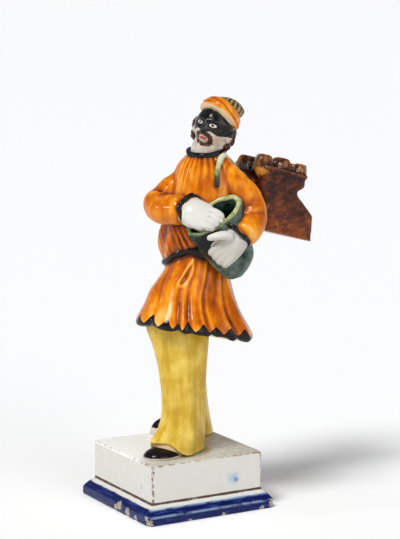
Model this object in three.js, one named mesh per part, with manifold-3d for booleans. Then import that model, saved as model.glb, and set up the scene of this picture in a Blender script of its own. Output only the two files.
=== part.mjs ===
// Commedia dell'arte figure in tin-glazed earthenware: a masked servant in a belted tunic, with one hand
// in a sack and a pannier on his back, standing on a square plinth. Millimetres, +Z up. The origin is the
// centre of the plinth's underside, the figure's feet point along -Y, and his left side is +X.
import * as THREE from "three";
import { mergeVertices } from "three/addons/utils/BufferGeometryUtils.js";
import Module from "manifold-3d";

// The plinth: a white box on a moulded foot, which has an upright edge, a slope and a narrow band.
const boxSide = 79.3;
const boxCornerRound = 1.6;
const plinthHeight = 36.2;
const footProud = 6;
const footEdgeHeight = 5.2;
const footSlopeHeight = 4.4;
const bandProud = 2.4;
const bandHeight = 2.2;

// The figure stands on the plinth. His forms are drawn on a body drawnHeight tall and follow figureHeight.
const figureHeight = 225;
const drawnHeight = 225;
const figureScale = figureHeight / drawnHeight;
const figureBack = 1.16;
const figureTurn = -1.17;

// Turns about the vertical from -Y towards his left, and leans, in degrees.
const chestTurn = 37;
const headTurn = 31;
const headLeanBack = 14;
const headLeanLeft = 14;
const pannierTurn = 6;
const pannierLean = 15;

const { sin, cos, PI, hypot, atan2, exp, sqrt, min, max, abs, round } = Math;
const degree = PI / 180;

const wasm = await Module();
wasm.setup();

// A closed mesh as a solid that can be joined and cut.
function solidOf(geometry) {
  const bare = geometry.clone();
  bare.deleteAttribute("normal");
  bare.deleteAttribute("uv");
  const merged = mergeVertices(bare, 1e-4);
  return new wasm.Manifold(
    new wasm.Mesh({
      numProp: 3,
      vertProperties: merged.attributes.position.array,
      triVerts: new Uint32Array(merged.index.array),
    }),
  );
}

// A solid as a geometry again.
function geometryOf(solid) {
  const mesh = solid.getMesh();
  const geometry = new THREE.BufferGeometry();
  geometry.setAttribute("position", new THREE.BufferAttribute(new Float32Array(mesh.vertProperties), 3));
  geometry.setIndex(new THREE.BufferAttribute(new Uint32Array(mesh.triVerts), 1));
  geometry.computeVertexNormals();
  return geometry;
}

function joined(geometries) {
  return geometries.map(solidOf).reduce((whole, next) => whole.add(next));
}

// Smooth values at a place along a table. Each row is a place, then the values there.
function between(rows, place) {
  const last = rows.length - 1;
  let i = 0;
  while (i < last - 1 && rows[i + 1][0] < place) i++;
  const [before, from, to, after] = [rows[max(i - 1, 0)], rows[i], rows[i + 1], rows[min(i + 2, last)]];
  const gap = to[0] - from[0];
  const t = min(max((place - from[0]) / gap, 0), 1);
  return from.slice(1).map((value, k) => {
    const start = ((to[k + 1] - before[k + 1]) / (to[0] - before[0])) * gap;
    const end = ((after[k + 1] - value) / (after[0] - from[0])) * gap;
    const rise = to[k + 1] - value;
    return value + t * (start + t * (3 * rise - 2 * start - end + t * (start + end - 2 * rise)));
  });
}

// A soft hump, 1 at the middle and 0 a few widths away.
function hump(distance, width) {
  return exp(-((distance / width) ** 2));
}

// The smaller angle between two directions, in radians.
function apart(a, b) {
  return atan2(sin(a - b), cos(a - b));
}

// Ridges of cloth round a form: each is a direction in degrees, a width in degrees and a height.
function ridges(list, angle) {
  return list.reduce((sum, [at, width, height]) => sum + height * hump(apart(angle, at * degree), width * degree), 0);
}

// A closed form on the grid of a cylinder. place(angle, share, reach) gives the point at an angle round
// the form, a share of the way up it, and a reach of 0 at its middle and 1 at its surface.
function formed(around, along, place) {
  const grid = new THREE.CylinderGeometry(1, 1, 1, around, along);
  grid.rotateX(PI / 2);
  const points = grid.attributes.position;
  for (let i = 0; i < points.count; i++) {
    const [x, y, z] = [points.getX(i), points.getY(i), points.getZ(i)];
    points.setXYZ(i, ...place(atan2(y, x), z + 0.5, hypot(x, y)));
  }
  return grid;
}

// An upright form through level sections. Each row is height, x, y, half width, half depth and turn in
// degrees. Angles go from his left, 0, round by his back, 90, to his right and front.
function upright(rows, around, along, relief = () => 0, lift = () => 0) {
  const low = rows[0][0];
  const high = rows[rows.length - 1][0];
  return formed(around, along, (angle, share, reach) => {
    const height = low + (high - low) * share;
    const [x, y, wide, deep, turn] = between(rows, height);
    const proud = relief(angle, share);
    const left = (wide + proud) * reach * cos(angle);
    const back = (deep + proud) * reach * sin(angle);
    const [c, s] = [cos(turn * degree), sin(turn * degree)];
    return [x + left * c - back * s, y + left * s + back * c, height + reach * lift(angle, share)];
  });
}

// A rounded limb along a curve through points. Each size is a share of the length, then the half width
// and the half depth there, where the depth lies towards the direction facing.
function limb(points, sizes, around, along, facing = [0, 0, 1], relief = () => 0) {
  const path = new THREE.CatmullRomCurve3(points.map((p) => new THREE.Vector3(...p)));
  const length = path.getLength();
  const towards = new THREE.Vector3(...facing);
  return formed(around, along, (angle, level, reach) => {
    const share = 0.5 - 0.5 * cos(PI * level);
    const middle = path.getPointAt(share);
    const tangent = path.getTangentAt(share);
    const side = new THREE.Vector3().crossVectors(tangent, towards).normalize();
    const top = new THREE.Vector3().crossVectors(side, tangent);
    const [wide, deep] = between(sizes, share);
    const toEnd = (min(share, 1 - share) * length) / min(wide, deep);
    const closing = sqrt(max(1 - max(1 - toEnd, 0) ** 2, 0.002));
    const proud = relief(angle, share);
    middle.addScaledVector(side, -(wide + proud) * closing * reach * cos(angle));
    middle.addScaledVector(top, (deep + proud) * closing * reach * sin(angle));
    return [middle.x, middle.y, middle.z];
  });
}

// An egg or lump: half sizes along x, y and z, then its place, with a dent or swelling by direction.
function lump(size, at, around, along, swell = () => 1) {
  const ball = new THREE.SphereGeometry(1, around, along);
  ball.rotateX(PI / 2);
  const points = ball.attributes.position;
  const p = new THREE.Vector3();
  for (let i = 0; i < points.count; i++) {
    p.fromBufferAttribute(points, i);
    const grow = swell(p);
    points.setXYZ(i, at[0] + p.x * size[0] * grow, at[1] + p.y * size[1] * grow, at[2] + p.z * size[2] * grow);
  }
  return ball;
}

// A roll of clay laid in a ring. centre(angle) gives the point of the ring at an angle.
function roll(centre, halfWidth, halfHeight, steps, sides) {
  const ring = new THREE.TorusGeometry(2, 1, sides, steps);
  const points = ring.attributes.position;
  for (let i = 0; i < points.count; i++) {
    const angle = atan2(points.getY(i), points.getX(i));
    const out = (hypot(points.getX(i), points.getY(i)) - 2) * halfWidth;
    const [x, y, z] = centre(angle);
    points.setXYZ(i, x + out * cos(angle), y + out * sin(angle), z + points.getZ(i) * halfHeight);
  }
  return ring;
}

// Trousers: two wide legs, his left one forward, with long soft folds and lifted front hems.
const leftLegRows = [
  [0.6, 14.5, -9, 14.3, 17.5, 8],
  [12, 15, -7, 13.4, 15.6, 8],
  [28, 15.4, -5.4, 12.4, 13.8, 6],
  [50, 15, -5.2, 12.8, 15, 4],
  [68, 11.5, -4.4, 15, 17.8, 2],
  [84, 6.5, -4, 17, 21, 0],
  [94, 6, 0, 17, 20, 0],
];
const rightLegRows = [
  [0.6, -24, 20, 14.2, 16.2, -6],
  [12, -23.5, 18.5, 13.2, 14.8, -6],
  [28, -21.5, 16.5, 12.2, 13.6, -4],
  [50, -16.5, 11.6, 12.6, 14.2, -2],
  [68, -10, 8, 14, 16.6, 0],
  [94, -4, 8, 15, 18, 0],
];
const legFolds = [
  [-160, 15, 1.2], [-122, 12, -1], [-84, 14, 1.3], [-46, 13, -1], [-8, 14, 1.3], [32, 13, -0.8], [75, 16, 1], [125, 18, 0.9],
];
const hemLift = 8.6;

function trouserLeg(rows) {
  const relief = (angle, share) => ridges(legFolds, angle + 0.4 * share) * (1.1 - 0.7 * share);
  const lift = (angle, share) => hemLift * exp(-((apart(angle, -72 * degree) / 0.85) ** 4)) * hump(share, 0.16);
  return upright(rows, 20, 6, relief, lift);
}

// A shoe with a rounded toe and a flat sole, by its half width, half length and height, placed by its
// middle and turned to its heading.
function shoe(size, x, y, heading) {
  const shape = lump(size, [0, 0, 0], 12, 6);
  const points = shape.attributes.position;
  for (let i = 0; i < points.count; i++) points.setZ(i, max(points.getZ(i), 0));
  shape.rotateZ(heading * degree);
  shape.translate(x, y, 0);
  return shape;
}

// The waist sits lower at his front right, where the blouse sags, and higher towards the sack.
const waistAt = [5.6, 10.3, 125.6];

function waistRise(angle) {
  return 5.2 * hump(apart(angle, -38 * degree), 0.55) - 5.8 * hump(apart(angle, -125 * degree), 0.75);
}

// Skirt of the tunic: a flared bell with deep folds. Its hem is high at his front right and low behind
// his left, and turns in under a thick edge.
const skirtRows = [
  [66, 6.9, 8.4, 33.6, 34.6, 0],
  [68, 6.9, 8.3, 35.6, 36.8, 0],
  [71, 6.8, 8.2, 35.9, 37, 0],
  [76, 6.5, 8, 34.6, 35.4, 0],
  [86, 5.8, 7.4, 30.8, 31, 0],
  [98, 5, 7, 26.6, 26.8, 0],
  [110, 5, 8, 22.8, 22.8, 0],
  [119, 5.4, 9.6, 20, 19.6, 0],
  [125, 5.6, 10.3, 18.6, 18, 0],
];
const skirtFolds = [
  [-104, 12, 2.1], [-76, 5, -1.2], [-63, 7, 2], [-52, 5, -1.3], [-42, 5, 1.6], [-24, 7, 1.4], [3, 9, -1.1],
  [14, 5, 1.4], [36, 8, 2.4], [60, 7, -1.3], [80, 9, 2.2], [100, 7, -1.3], [120, 9, 2.2], [142, 7, -1.3],
  [163, 9, 2.3], [184, 7, -1.3], [205, 9, 2.2], [229, 7, -1.3],
];
const hemMean = 7.8;
const hemTilt = 8;
const hemHighAt = -75;

function skirt() {
  const relief = (angle, share) => ridges(skirtFolds, angle + 0.12 * sin(5 * share)) * (1.1 - share);
  const lift = (angle, share) => {
    const hem = hemMean + hemTilt * cos(angle - hemHighAt * degree) - 0.7 * ridges(skirtFolds, angle);
    return hem * max(1 - 1.3 * share, 0) + waistRise(angle) * share ** 3;
  };
  const bell = solidOf(upright(skirtRows, 54, 5, relief, lift));
  const under = lump([28, 29, 6], [6.9, 8.4, 0], 14, 5);
  under.rotateX(-0.1);
  under.translate(0, 0, 68);
  return bell.subtract(solidOf(under));
}

// Sash: a rolled cord round the waist.
function sash() {
  const [x, y, z] = waistAt;
  return roll((a) => [x + 19.8 * cos(a), y + 19.2 * sin(a), z + waistRise(a)], 1.9, 1.6, 24, 5);
}

// Blouse: full above the sash, narrow at the chest, gathered under a round collar.
const blouseRows = [
  [122, 5.6, 10.3, 18.5, 17.8, 20],
  [127, 5.7, 10.4, 22.4, 21, 26],
  [134, 6.2, 10.8, 24.4, 21.8, 34],
  [146, 7, 12, 23.8, 20, chestTurn],
  [160, 7.8, 13.4, 22.2, 17.6, chestTurn],
  [172, 8.2, 14.4, 21.4, 15.6, chestTurn],
  [180, 8.4, 15, 18.8, 13.8, chestTurn],
  [186, 8.5, 15.3, 14, 11.8, chestTurn],
  [190.5, 8.6, 15.6, 10.4, 9.8, chestTurn],
];
const blouseFolds = [[-155, 9, 1.6], [-132, 8, -1.2], [-114, 9, 1.3], [180, 12, -1], [20, 10, 1.2], [90, 16, 1.4], [130, 12, -1]];
const gathers = 11;

function blouse() {
  const relief = (angle, share) =>
    0.7 * cos(gathers * angle) * hump(share - 0.86, 0.2) + ridges(blouseFolds, angle) * hump(share - 0.2, 0.2);
  const lift = (angle, share) => waistRise(angle + 20 * degree) * max(1 - 4 * share, 0);
  return upright(blouseRows, 38, 6, relief, lift);
}

// Sleeves: full tubes bent at the elbow, with a crease across the bend.
const rightArm = [[2, 13, 178], [-3, 2.9, 168], [-6, -10.2, 157], [1.8, -12.6, 154], [13, -8.6, 154.4], [23.4, -3.6, 155.2]];
const leftArm = [[16, 21, 181], [21.4, 25.6, 173], [28, 34, 160], [30.6, 35.8, 149], [36.2, 29.2, 142], [40.2, 20.6, 138.6]];
const sleeveSizes = [[0, 7, 7], [0.16, 8.4, 8.4], [0.5, 9.6, 9.6], [0.8, 9.4, 9.4], [1, 9, 9.2]];

function sleeve(path, creaseAt) {
  const relief = (angle, share) =>
    (0.9 * hump(share - creaseAt - 0.08, 0.04) - 1.5 * hump(share - creaseAt, 0.04)) * hump(apart(angle, PI / 2), 1.2);
  return limb(path, sleeveSizes, 12, 8, [0.35, -0.6, 1], relief);
}

// Hands: a broad smooth back that runs over the knuckles, four thick fingers close together and a thumb.
// The back of the hand looks along facing.
const fingerPitch = 4;
const rightPalmSizes = [[0, 8.8, 6.5], [0.45, 9.8, 6.2], [1, 8.6, 3.6]];
const leftPalmSizes = [[0, 7.6, 6], [0.45, 8.8, 5.4], [1, 8.6, 3.4]];
const fingerSizes = [[0, 2.5, 2.6], [0.6, 2.5, 2.5], [1, 2, 1.9]];
const thumbSizes = [[0, 3.4, 3.2], [0.5, 3.1, 2.8], [1, 1.7, 1.8]];

function hand(wrist, knuckles, tips, facing, thumb, palmSizes, closing) {
  const [from, to, end, out] = [wrist, knuckles, tips, facing].map((p) => new THREE.Vector3(...p));
  const across = new THREE.Vector3().subVectors(to, from).cross(out).normalize();
  out.normalize();
  const fingers = [-1.5, -0.5, 0.5, 1.5].map((place) => {
    const root = to.clone().addScaledVector(across, place * fingerPitch);
    const tip = end.clone().addScaledVector(across, place * fingerPitch * closing);
    tip.lerp(root, 0.07 * abs(place + 0.5));
    const bend = root.clone().lerp(tip, 0.5).addScaledVector(out, 1.2);
    root.lerp(from, 0.15);
    return limb([root, bend, tip].map((p) => p.toArray()), fingerSizes, 5, 3, facing);
  });
  const over = to.clone().lerp(end, 0.35);
  const palmPath = [from, from.clone().lerp(to, 0.6), over].map((p) => p.toArray());
  const palm = limb(palmPath, palmSizes, 10, 5, facing);
  return [palm, ...fingers, limb(thumb, thumbSizes, 6, 4)];
}

function rightHand() {
  const thumb = [[27, -4, 149], [32, 0.5, 144], [36, 5, 142]];
  return hand([18, -7, 156], [32, 0.6, 151.6], [37.2, 10.2, 147], [0.74, -0.4, 0.54], thumb, rightPalmSizes, 0.75);
}

function leftHand() {
  const thumb = [[44, 14.6, 140], [44.4, 6.4, 141.2], [41, -2.2, 139.4]];
  return hand([38.8, 22.4, 140.6], [43.8, 10, 131], [39.4, 4.2, 124.4], [0.876, -0.482, 0.1], thumb, leftPalmSizes, 0.9);
}

// The thick edges of the sleeves, each a ring round a place that opens along a direction.
function cuff(at, opening, radius) {
  const ring = roll((a) => [radius * cos(a), radius * sin(a), 0], 1.6, 1.5, 12, 4);
  const up = new THREE.Vector3(0, 0, 1);
  ring.applyQuaternion(new THREE.Quaternion().setFromUnitVectors(up, new THREE.Vector3(...opening).normalize()));
  ring.translate(...at);
  return ring;
}

// Sack: a soft bag hugged to his left side, open at its slanting mouth.
const sackAlong = new THREE.Vector3(0.242, 0.867, 0.438);
const sackAcross = new THREE.Vector3(-0.625, 0.378, 0.68);
const sackRows = [
  [0, 29, 28, 115.4, 4.5, 3.6],
  [0.1, 29.2, 27.4, 117, 8.6, 7.4],
  [0.32, 30.2, 24.4, 124.2, 12.8, 10.6],
  [0.6, 31, 17.4, 134.9, 15.6, 11.6],
  [0.82, 31.1, 11.4, 145.3, 18, 12],
  [0.95, 30.5, 9.1, 151.2, 19.4, 12.6],
  [1, 30.5, 9.1, 152.2, 18.2, 11.4],
];
const sackWall = 2.2;
const sackFloor = 0.68;

// The lip on the chest's side stands forward, so that the mouth looks out past the chest.
const sackLipLean = 7.5;
const sackLipTowards = new THREE.Vector3(0.865, -0.476, 0.16);

function sackPoint(angle, level, inset, reach) {
  const [x, y, z, long, short] = between(sackRows, level);
  const slack = 1 + 0.06 * cos(5 * angle + 4 * level) * (1 - level);
  const rise = min(max((level - 0.6) / 0.4, 0), 1);
  const lean = sackLipLean * rise * rise * (3 - 2 * rise) * max(sin(angle), 0) * reach;
  return new THREE.Vector3(x, y, z)
    .addScaledVector(sackAlong, (long - inset) * slack * reach * cos(angle))
    .addScaledVector(sackAcross, (short - inset) * slack * reach * sin(angle))
    .addScaledVector(sackLipTowards, lean);
}

// The room inside the sack and a little above its mouth.
function sackHollow() {
  const brim = 0.8;
  const outward = new THREE.Vector3().crossVectors(sackAlong, sackAcross).normalize();
  return solidOf(formed(16, 4, (angle, share, reach) => {
    const above = max(share - brim, 0) / (1 - brim);
    const level = min(sackFloor + ((1 - sackFloor) * share) / brim, 1);
    return sackPoint(angle, level, sackWall - 0.8 * above, reach).addScaledVector(outward, 5 * above).toArray();
  }));
}

function sack() {
  return formed(18, 6, (angle, share, reach) => sackPoint(angle, share, 0, reach).toArray());
}

// Straps: flat bands from the pannier over each shoulder.
const leftStrap = [[11, 49, 168], [13.6, 35, 177.6], [16.4, 27, 185], [20.2, 21.4, 187.8], [24, 16.6, 184.4], [27, 13, 179], [28.6, 11.8, 168.4]];
const rightStrap = [[-4, 47, 168], [-3, 33, 178], [-3, 21, 185], [-5, 9, 183], [-5, 3, 177], [-1.4, -0.8, 168]];
const strapHalfWidth = 1.9;

function strap(points) {
  const path = new THREE.CatmullRomCurve3(points.map((p) => new THREE.Vector3(...p)));
  const section = new THREE.Shape([
    new THREE.Vector2(-1.4, -strapHalfWidth),
    new THREE.Vector2(1.2, -strapHalfWidth),
    new THREE.Vector2(1.2, strapHalfWidth),
    new THREE.Vector2(-1.4, strapHalfWidth),
  ]);
  return new THREE.ExtrudeGeometry(section, { steps: 9, extrudePath: path });
}

// Neck, and the ring of the collar round it, lower in front.
const neckRows = [[184, 8.2, 15, 11, 10.6, chestTurn], [192, 8.9, 16.3, 10.5, 10.4, chestTurn], [201, 10.4, 18.8, 9.2, 9.4, chestTurn]];

function collar() {
  const [x, y, z] = [8.4, 15.4, 190];
  return roll((a) => [x + 11.6 * cos(a), y + 11.4 * sin(a), z + 2.2 * sin(a - chestTurn * degree)], 1.5, 1.7, 22, 4);
}

// The head is drawn upright round its own middle, facing -Y, and then leaned and turned into place.
const headAt = [11.4, 20.2, 204.4];
const headHalf = [12.4, 13.8, 14.8];

function faceRelief(p) {
  const front = max(-p.y, 0);
  const socket = hump(abs(p.x) - 0.38, 0.2) * hump(p.z - 0.02, 0.13);
  const eyeball = hump(abs(p.x) - 0.38, 0.13) * hump(p.z - 0.01, 0.09);
  const brow = hump(abs(p.x) - 0.34, 0.26) * hump(p.z - 0.2, 0.09);
  const bridge = hump(p.x, 0.1) * hump(p.z + 0.02, 0.22);
  const noseTip = hump(p.x, 0.15) * hump(p.z + 0.28, 0.12);
  const lips = hump(p.x, 0.24) * (hump(p.z + 0.54, 0.05) + hump(p.z + 0.65, 0.05));
  const chin = hump(p.x, 0.26) * hump(p.z + 0.88, 0.14);
  const carved = 0.07 * eyeball - 0.1 * socket + 0.06 * brow + 0.1 * bridge + 0.2 * noseTip + 0.05 * lips + 0.07 * chin;
  const jaw = 0.07 * max(-p.z - 0.3, 0) * (1 - front);
  return 1 + carved * front - jaw;
}

// Cap: a thick turned-up band, tipped far back towards the nape, with a low crown rising out of it. The
// band is drawn level round its own middle and the crown on the head's axes.
const capLeanBack = 44;
const capLeanLeft = 20;
const capRise = 4;
const capBandRows = [
  [0.6, 1, -1, 11.2, 12.2, 0],
  [2, 1, -1, 12.8, 13.8, 0],
  [5, 1, -1, 13.4, 14.4, 0],
  [8.4, 1, -1, 12.4, 13.4, 0],
  [10, 1, -1, 10.8, 11.8, 0],
];

function crown() {
  return lump([10.6, 10.8, 6.8], [1.7, 4.2, 13.8], 12, 6);
}

// Hair: bushy curls beside the ears, fuller on his right, and a thick mass down the nape.
function hair() {
  const curls = [[-14.4, 3, -1], [-13.2, 3.4, -7], [10.6, 3.4, -1], [9.2, 4, -7.5]];
  return [...curls.map((at) => lump([3, 4.2, 4.6], at, 7, 5)), lump([8.6, 6.2, 12.2], [-0.8, 6.2, -5], 10, 5)];
}

// The skull, with its grid crowded towards the face.
function skull() {
  const ball = new THREE.SphereGeometry(1, 20, 13);
  ball.rotateX(PI / 2);
  const points = ball.attributes.position;
  for (let i = 0; i < points.count; i++) {
    const [x, y, z] = [points.getX(i), points.getY(i), points.getZ(i)];
    const around = atan2(x, -y) - 0.45 * sin(atan2(x, -y));
    const up = Math.asin(z) - 0.2 * (1 - z * z);
    const p = new THREE.Vector3(sin(around) * cos(up), -cos(around) * cos(up), sin(up));
    const grow = faceRelief(p);
    points.setXYZ(i, p.x * headHalf[0] * grow, p.y * headHalf[1] * grow, p.z * headHalf[2] * grow);
  }
  return ball;
}

function head() {
  const ears = [-1, 1].map((side) => lump([1.8, 2.6, 3.8], [side * 12.4, -1.4, -3.4], 6, 5));
  const pieces = [skull(), ...ears, ...hair(), crown()];
  for (const piece of pieces) leaned(piece, headLeanBack, headLeanLeft, 0);
  return [...pieces, leaned(upright(capBandRows, 20, 4), capLeanBack, capLeanLeft, capRise)];
}

// Leans a form back and to his left, turns it with the head and puts it in place.
function leaned(piece, back, left, rise) {
  piece.rotateX(-back * degree);
  piece.rotateY(left * degree);
  piece.rotateZ(headTurn * degree);
  piece.translate(headAt[0], headAt[1], headAt[2] + rise);
  return piece;
}

// Pannier: a square hod with a thick lip, a narrow waist below it and a flared lower half, heaped with a
// lumpy load. It is drawn hanging from 0 with its front wall near 0 along y, then leaned back.
const pannierAt = [2.6, 51, 180];
const pannierHeight = 41;
const pannierRows = [
  [0, 27, 18.6, 22.4],
  [0.4, 25.6, 17.8, 21],
  [0.56, 19.4, 17.7, 17.3],
  [0.64, 16.2, 17.6, 15.8],
  [0.71, 15.4, 17.4, 15.6],
  [0.77, 17, 17.9, 17],
  [0.81, 17.6, 18.2, 17.6],
  [0.97, 17.6, 18.2, 17.6],
  [1, 17.2, 17.8, 17.2],
];

function pannierWalls() {
  return formed(16, 10, (angle, share, reach) => {
    const [middle, wide, deep] = between(pannierRows, share);
    const square = 0.99 * min(1 / max(abs(cos(angle)), abs(sin(angle))), 1.34);
    return [wide * reach * square * cos(angle), middle + deep * reach * square * sin(angle), (share - 1) * pannierHeight];
  });
}

function load() {
  const lumps = [];
  for (const [row, x] of [-9.6, 0, 9.6].entries()) {
    for (const [place, y] of [3.5, 16, 28.5].entries()) {
      const turn = 2.3 * row + 1.7 * place;
      const size = [5.9 + 0.5 * sin(turn), 6.2 + 0.6 * cos(2 * turn), 6.6 + 1.2 * sin(1.9 * turn)];
      const lobes = (p) => 1 + 0.1 * cos(2 * atan2(p.y, p.x) + turn) + 0.06 * sin(4 * p.z + turn);
      lumps.push(lump(size, [x + 0.6 * sin(3 * turn), y + 0.5 * cos(turn), 0.5], 6, 5, lobes));
    }
  }
  return lumps;
}

function pannier() {
  const pieces = [pannierWalls(), ...load()];
  for (const piece of pieces) {
    piece.rotateX(-pannierLean * degree);
    piece.rotateZ(pannierTurn * degree);
    piece.translate(...pannierAt);
  }
  return pieces;
}

// The pad of clay that joins his back to the pannier.
function backPad() {
  return limb([[4, 20, 166], [2.6, 42, 162], [2, 58, 160]], [[0, 13, 16], [1, 12, 14]], 10, 3);
}

function figureSolid() {
  const open = joined([blouse(), sleeve(leftArm, 0.5), sack()]).subtract(sackHollow());
  const pieces = [
    trouserLeg(leftLegRows),
    trouserLeg(rightLegRows),
    shoe([9.8, 11.4, 6.4], 19.4, -23.2, 12),
    shoe([6.8, 10.5, 9], -32.4, 9.5, -12),
    sash(),
    sleeve(rightArm, 0.44),
    cuff([23.1, -2.9, 154.5], [0.97, 0.15, 0.1], 9.6),
    cuff([39.3, 20.5, 139.8], [0.01, -0.71, -0.68], 8.9),
    ...rightHand(),
    ...leftHand(),
    upright(neckRows, 14, 2),
    collar(),
    ...head(),
    backPad(),
    ...pannier(),
    strap(leftStrap),
    strap(rightStrap),
  ];
  return open.add(joined(pieces)).add(skirt());
}

// Plinth: each level is a height and a half side, and the upright corners are rounded.
function plinthGeometry() {
  const box = boxSide / 2;
  const foot = box + footProud;
  const slopeTop = footEdgeHeight + footSlopeHeight;
  const bandTop = slopeTop + bandHeight;
  const levels = [
    [0, foot - 0.5],
    [0.6, foot],
    [footEdgeHeight, foot],
    [footEdgeHeight + 0.6, foot - 0.4],
    [slopeTop - 0.5, box + bandProud + 0.5],
    [slopeTop, box + bandProud],
    [bandTop - 0.5, box + 0.4],
    [bandTop, box],
    [plinthHeight - 0.9, box],
    [plinthHeight - 0.3, box - 0.25],
    [plinthHeight, box - 0.9],
  ];
  const cornerSteps = 3;
  const columns = 4 * (cornerSteps + 1);
  return formed(columns, levels.length - 1, (angle, share, reach) => {
    const [height, half] = levels[round(share * (levels.length - 1))];
    const column = (round((angle / (2 * PI)) * columns) + columns) % columns;
    const corner = Math.floor(column / (cornerSteps + 1));
    const turn = (corner + (column % (cornerSteps + 1)) / cornerSteps) * (PI / 2);
    const [cx, cy] = [[1, 1], [-1, 1], [-1, -1], [1, -1]][corner];
    const straight = half - boxCornerRound;
    return [
      reach * (cx * straight + boxCornerRound * cos(turn)),
      reach * (cy * straight + boxCornerRound * sin(turn)),
      height,
    ];
  });
}

const plinth = new THREE.Mesh(
  plinthGeometry(),
  new THREE.MeshStandardMaterial({ color: 0xe9e4d8, roughness: 0.25, metalness: 0 }),
);
plinth.name = "plinth";

const figure = new THREE.Mesh(
  geometryOf(figureSolid()).scale(figureScale, figureScale, figureScale),
  new THREE.MeshStandardMaterial({ color: 0xd9771e, roughness: 0.2, metalness: 0 }),
);
figure.name = "figure";
figure.rotation.z = figureTurn * degree;
figure.position.set(0, figureBack, plinthHeight);

const part = new THREE.Group();
part.add(plinth, figure);

export default part;
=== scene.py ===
from math import acos, atan2, cos, exp, hypot, pi, radians, sin, sqrt

import bmesh
import bpy
import numpy as np
from mathutils import Matrix, Vector, noise
from mathutils.bvhtree import BVHTree


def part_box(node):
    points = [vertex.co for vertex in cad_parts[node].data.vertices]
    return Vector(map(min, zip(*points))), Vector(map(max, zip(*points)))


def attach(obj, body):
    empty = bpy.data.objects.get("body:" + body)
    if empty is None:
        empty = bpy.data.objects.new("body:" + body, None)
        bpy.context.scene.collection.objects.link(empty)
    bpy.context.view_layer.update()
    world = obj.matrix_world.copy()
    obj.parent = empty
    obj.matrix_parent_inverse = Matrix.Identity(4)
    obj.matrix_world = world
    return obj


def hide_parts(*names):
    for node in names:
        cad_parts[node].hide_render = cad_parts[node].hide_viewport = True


bl_info = {
    "name": "Glazed Comedy Figure",
    "version": (1, 0, 0),
    "blender": (4, 5, 0),
    "location": "View3D > Sidebar > Figure",
    "description": "Builds a glazed earthenware servant with a sack and a pannier on a square plinth",
    "category": "Add Mesh",
}

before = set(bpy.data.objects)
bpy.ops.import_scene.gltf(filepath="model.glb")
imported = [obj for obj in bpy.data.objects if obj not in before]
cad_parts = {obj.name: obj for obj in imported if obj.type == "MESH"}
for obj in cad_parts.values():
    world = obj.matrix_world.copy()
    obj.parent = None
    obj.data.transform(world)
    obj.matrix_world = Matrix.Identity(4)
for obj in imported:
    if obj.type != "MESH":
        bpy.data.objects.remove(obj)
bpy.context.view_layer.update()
plinth_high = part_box("plinth")[1]

MM = 0.001
DRAWN_HEIGHT = 225
FIGURE_BACK, FIGURE_TURN = 1.16, -1.17
WHOLE_TURN = 2 * pi
# What a painted field holds where its paint is absent.
OUTSIDE = -3.0


# Sizes and colours

def length(name, description, default):
    return bpy.props.FloatProperty(
        name=name, description=description, default=default, min=0.0001, unit="LENGTH")


def paint(name, description, default):
    return bpy.props.FloatVectorProperty(
        name=name, description=description, default=default, min=0, max=1, subtype="COLOR")


class FigureSizes(bpy.types.PropertyGroup):
    """Sizes of the figure and its plinth, in metres."""
    figure_height: length("Figure height", "Height of the figure's drawing above the plinth", 0.225)
    box_side: length("Box side", "Side of the plinth's white box", 0.0793)
    plinth_height: length("Plinth height", "Height of the plinth", plinth_high.z)
    body_grain: length("Body grain", "Size of the smallest modelled step on the body", 0.00062)
    head_grain: length("Head grain", "Size of the smallest modelled step on the head", 0.00036)


class FigureColours(bpy.types.PropertyGroup):
    """Colours of the glazes and of the bare clay."""
    orange: paint("Orange", "Orange of the tunic and cap", (0.50, 0.105, 0.002))
    amber: paint("Amber", "Yellow lights in the orange", (0.74, 0.25, 0.006))
    rust: paint("Rust", "Dark orange pooled in the creases", (0.10, 0.017, 0.003))
    yellow: paint("Yellow", "Yellow of the trousers", (0.52, 0.325, 0.027))
    straw: paint("Straw", "Darker yellow patches", (0.33, 0.175, 0.016))
    white: paint("White", "White tin glaze", (0.62, 0.605, 0.565))
    cream: paint("Cream", "Warm glaze over the clay", (0.54, 0.44, 0.31))
    black: paint("Black", "Manganese black", (0.008, 0.006, 0.006))
    hair: paint("Hair", "Dark brown of the hair", (0.04, 0.015, 0.009))
    green: paint("Green", "Grey green of the sack", (0.065, 0.10, 0.078))
    leaf: paint("Leaf", "Yellow green of the rims and straps", (0.36, 0.39, 0.15))
    umber: paint("Umber", "Purplish brown of the pannier", (0.055, 0.013, 0.007))
    sienna: paint("Sienna", "Rust brown of the pannier's lower half", (0.15, 0.03, 0.006))
    cobalt: paint("Cobalt", "Blue of the plinth's foot", (0.002, 0.008, 0.09))
    sky: paint("Sky", "Thin blue where the cobalt has run", (0.28, 0.39, 0.55))
    clay: paint("Clay", "Bare clay in the chips", (0.44, 0.38, 0.30))


def sizes():
    return bpy.context.scene.figure_sizes


def colours():
    return bpy.context.scene.figure_colours


# Curves and forms

def between(rows, place):
    """Smooth values at a place along a table. Each row is a place, then the values there."""
    last = len(rows) - 1
    i = 0
    while i < last - 1 and rows[i + 1][0] < place:
        i += 1
    before, start, end, after = rows[max(i - 1, 0)], rows[i], rows[i + 1], rows[min(i + 2, last)]
    gap = end[0] - start[0]
    t = min(max((place - start[0]) / gap, 0), 1)
    values = []
    for k in range(1, len(start)):
        leave = (end[k] - before[k]) / (end[0] - before[0]) * gap
        arrive = (after[k] - start[k]) / (after[0] - start[0]) * gap
        rise = end[k] - start[k]
        square = 3 * rise - 2 * leave - arrive
        cube = leave + arrive - 2 * rise
        values.append(start[k] + t * (leave + t * (square + t * cube)))
    return values


def hump(distance, width):
    """A soft hump, 1 at the middle and 0 a few widths away."""
    return exp(-((distance / width) ** 2))


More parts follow.
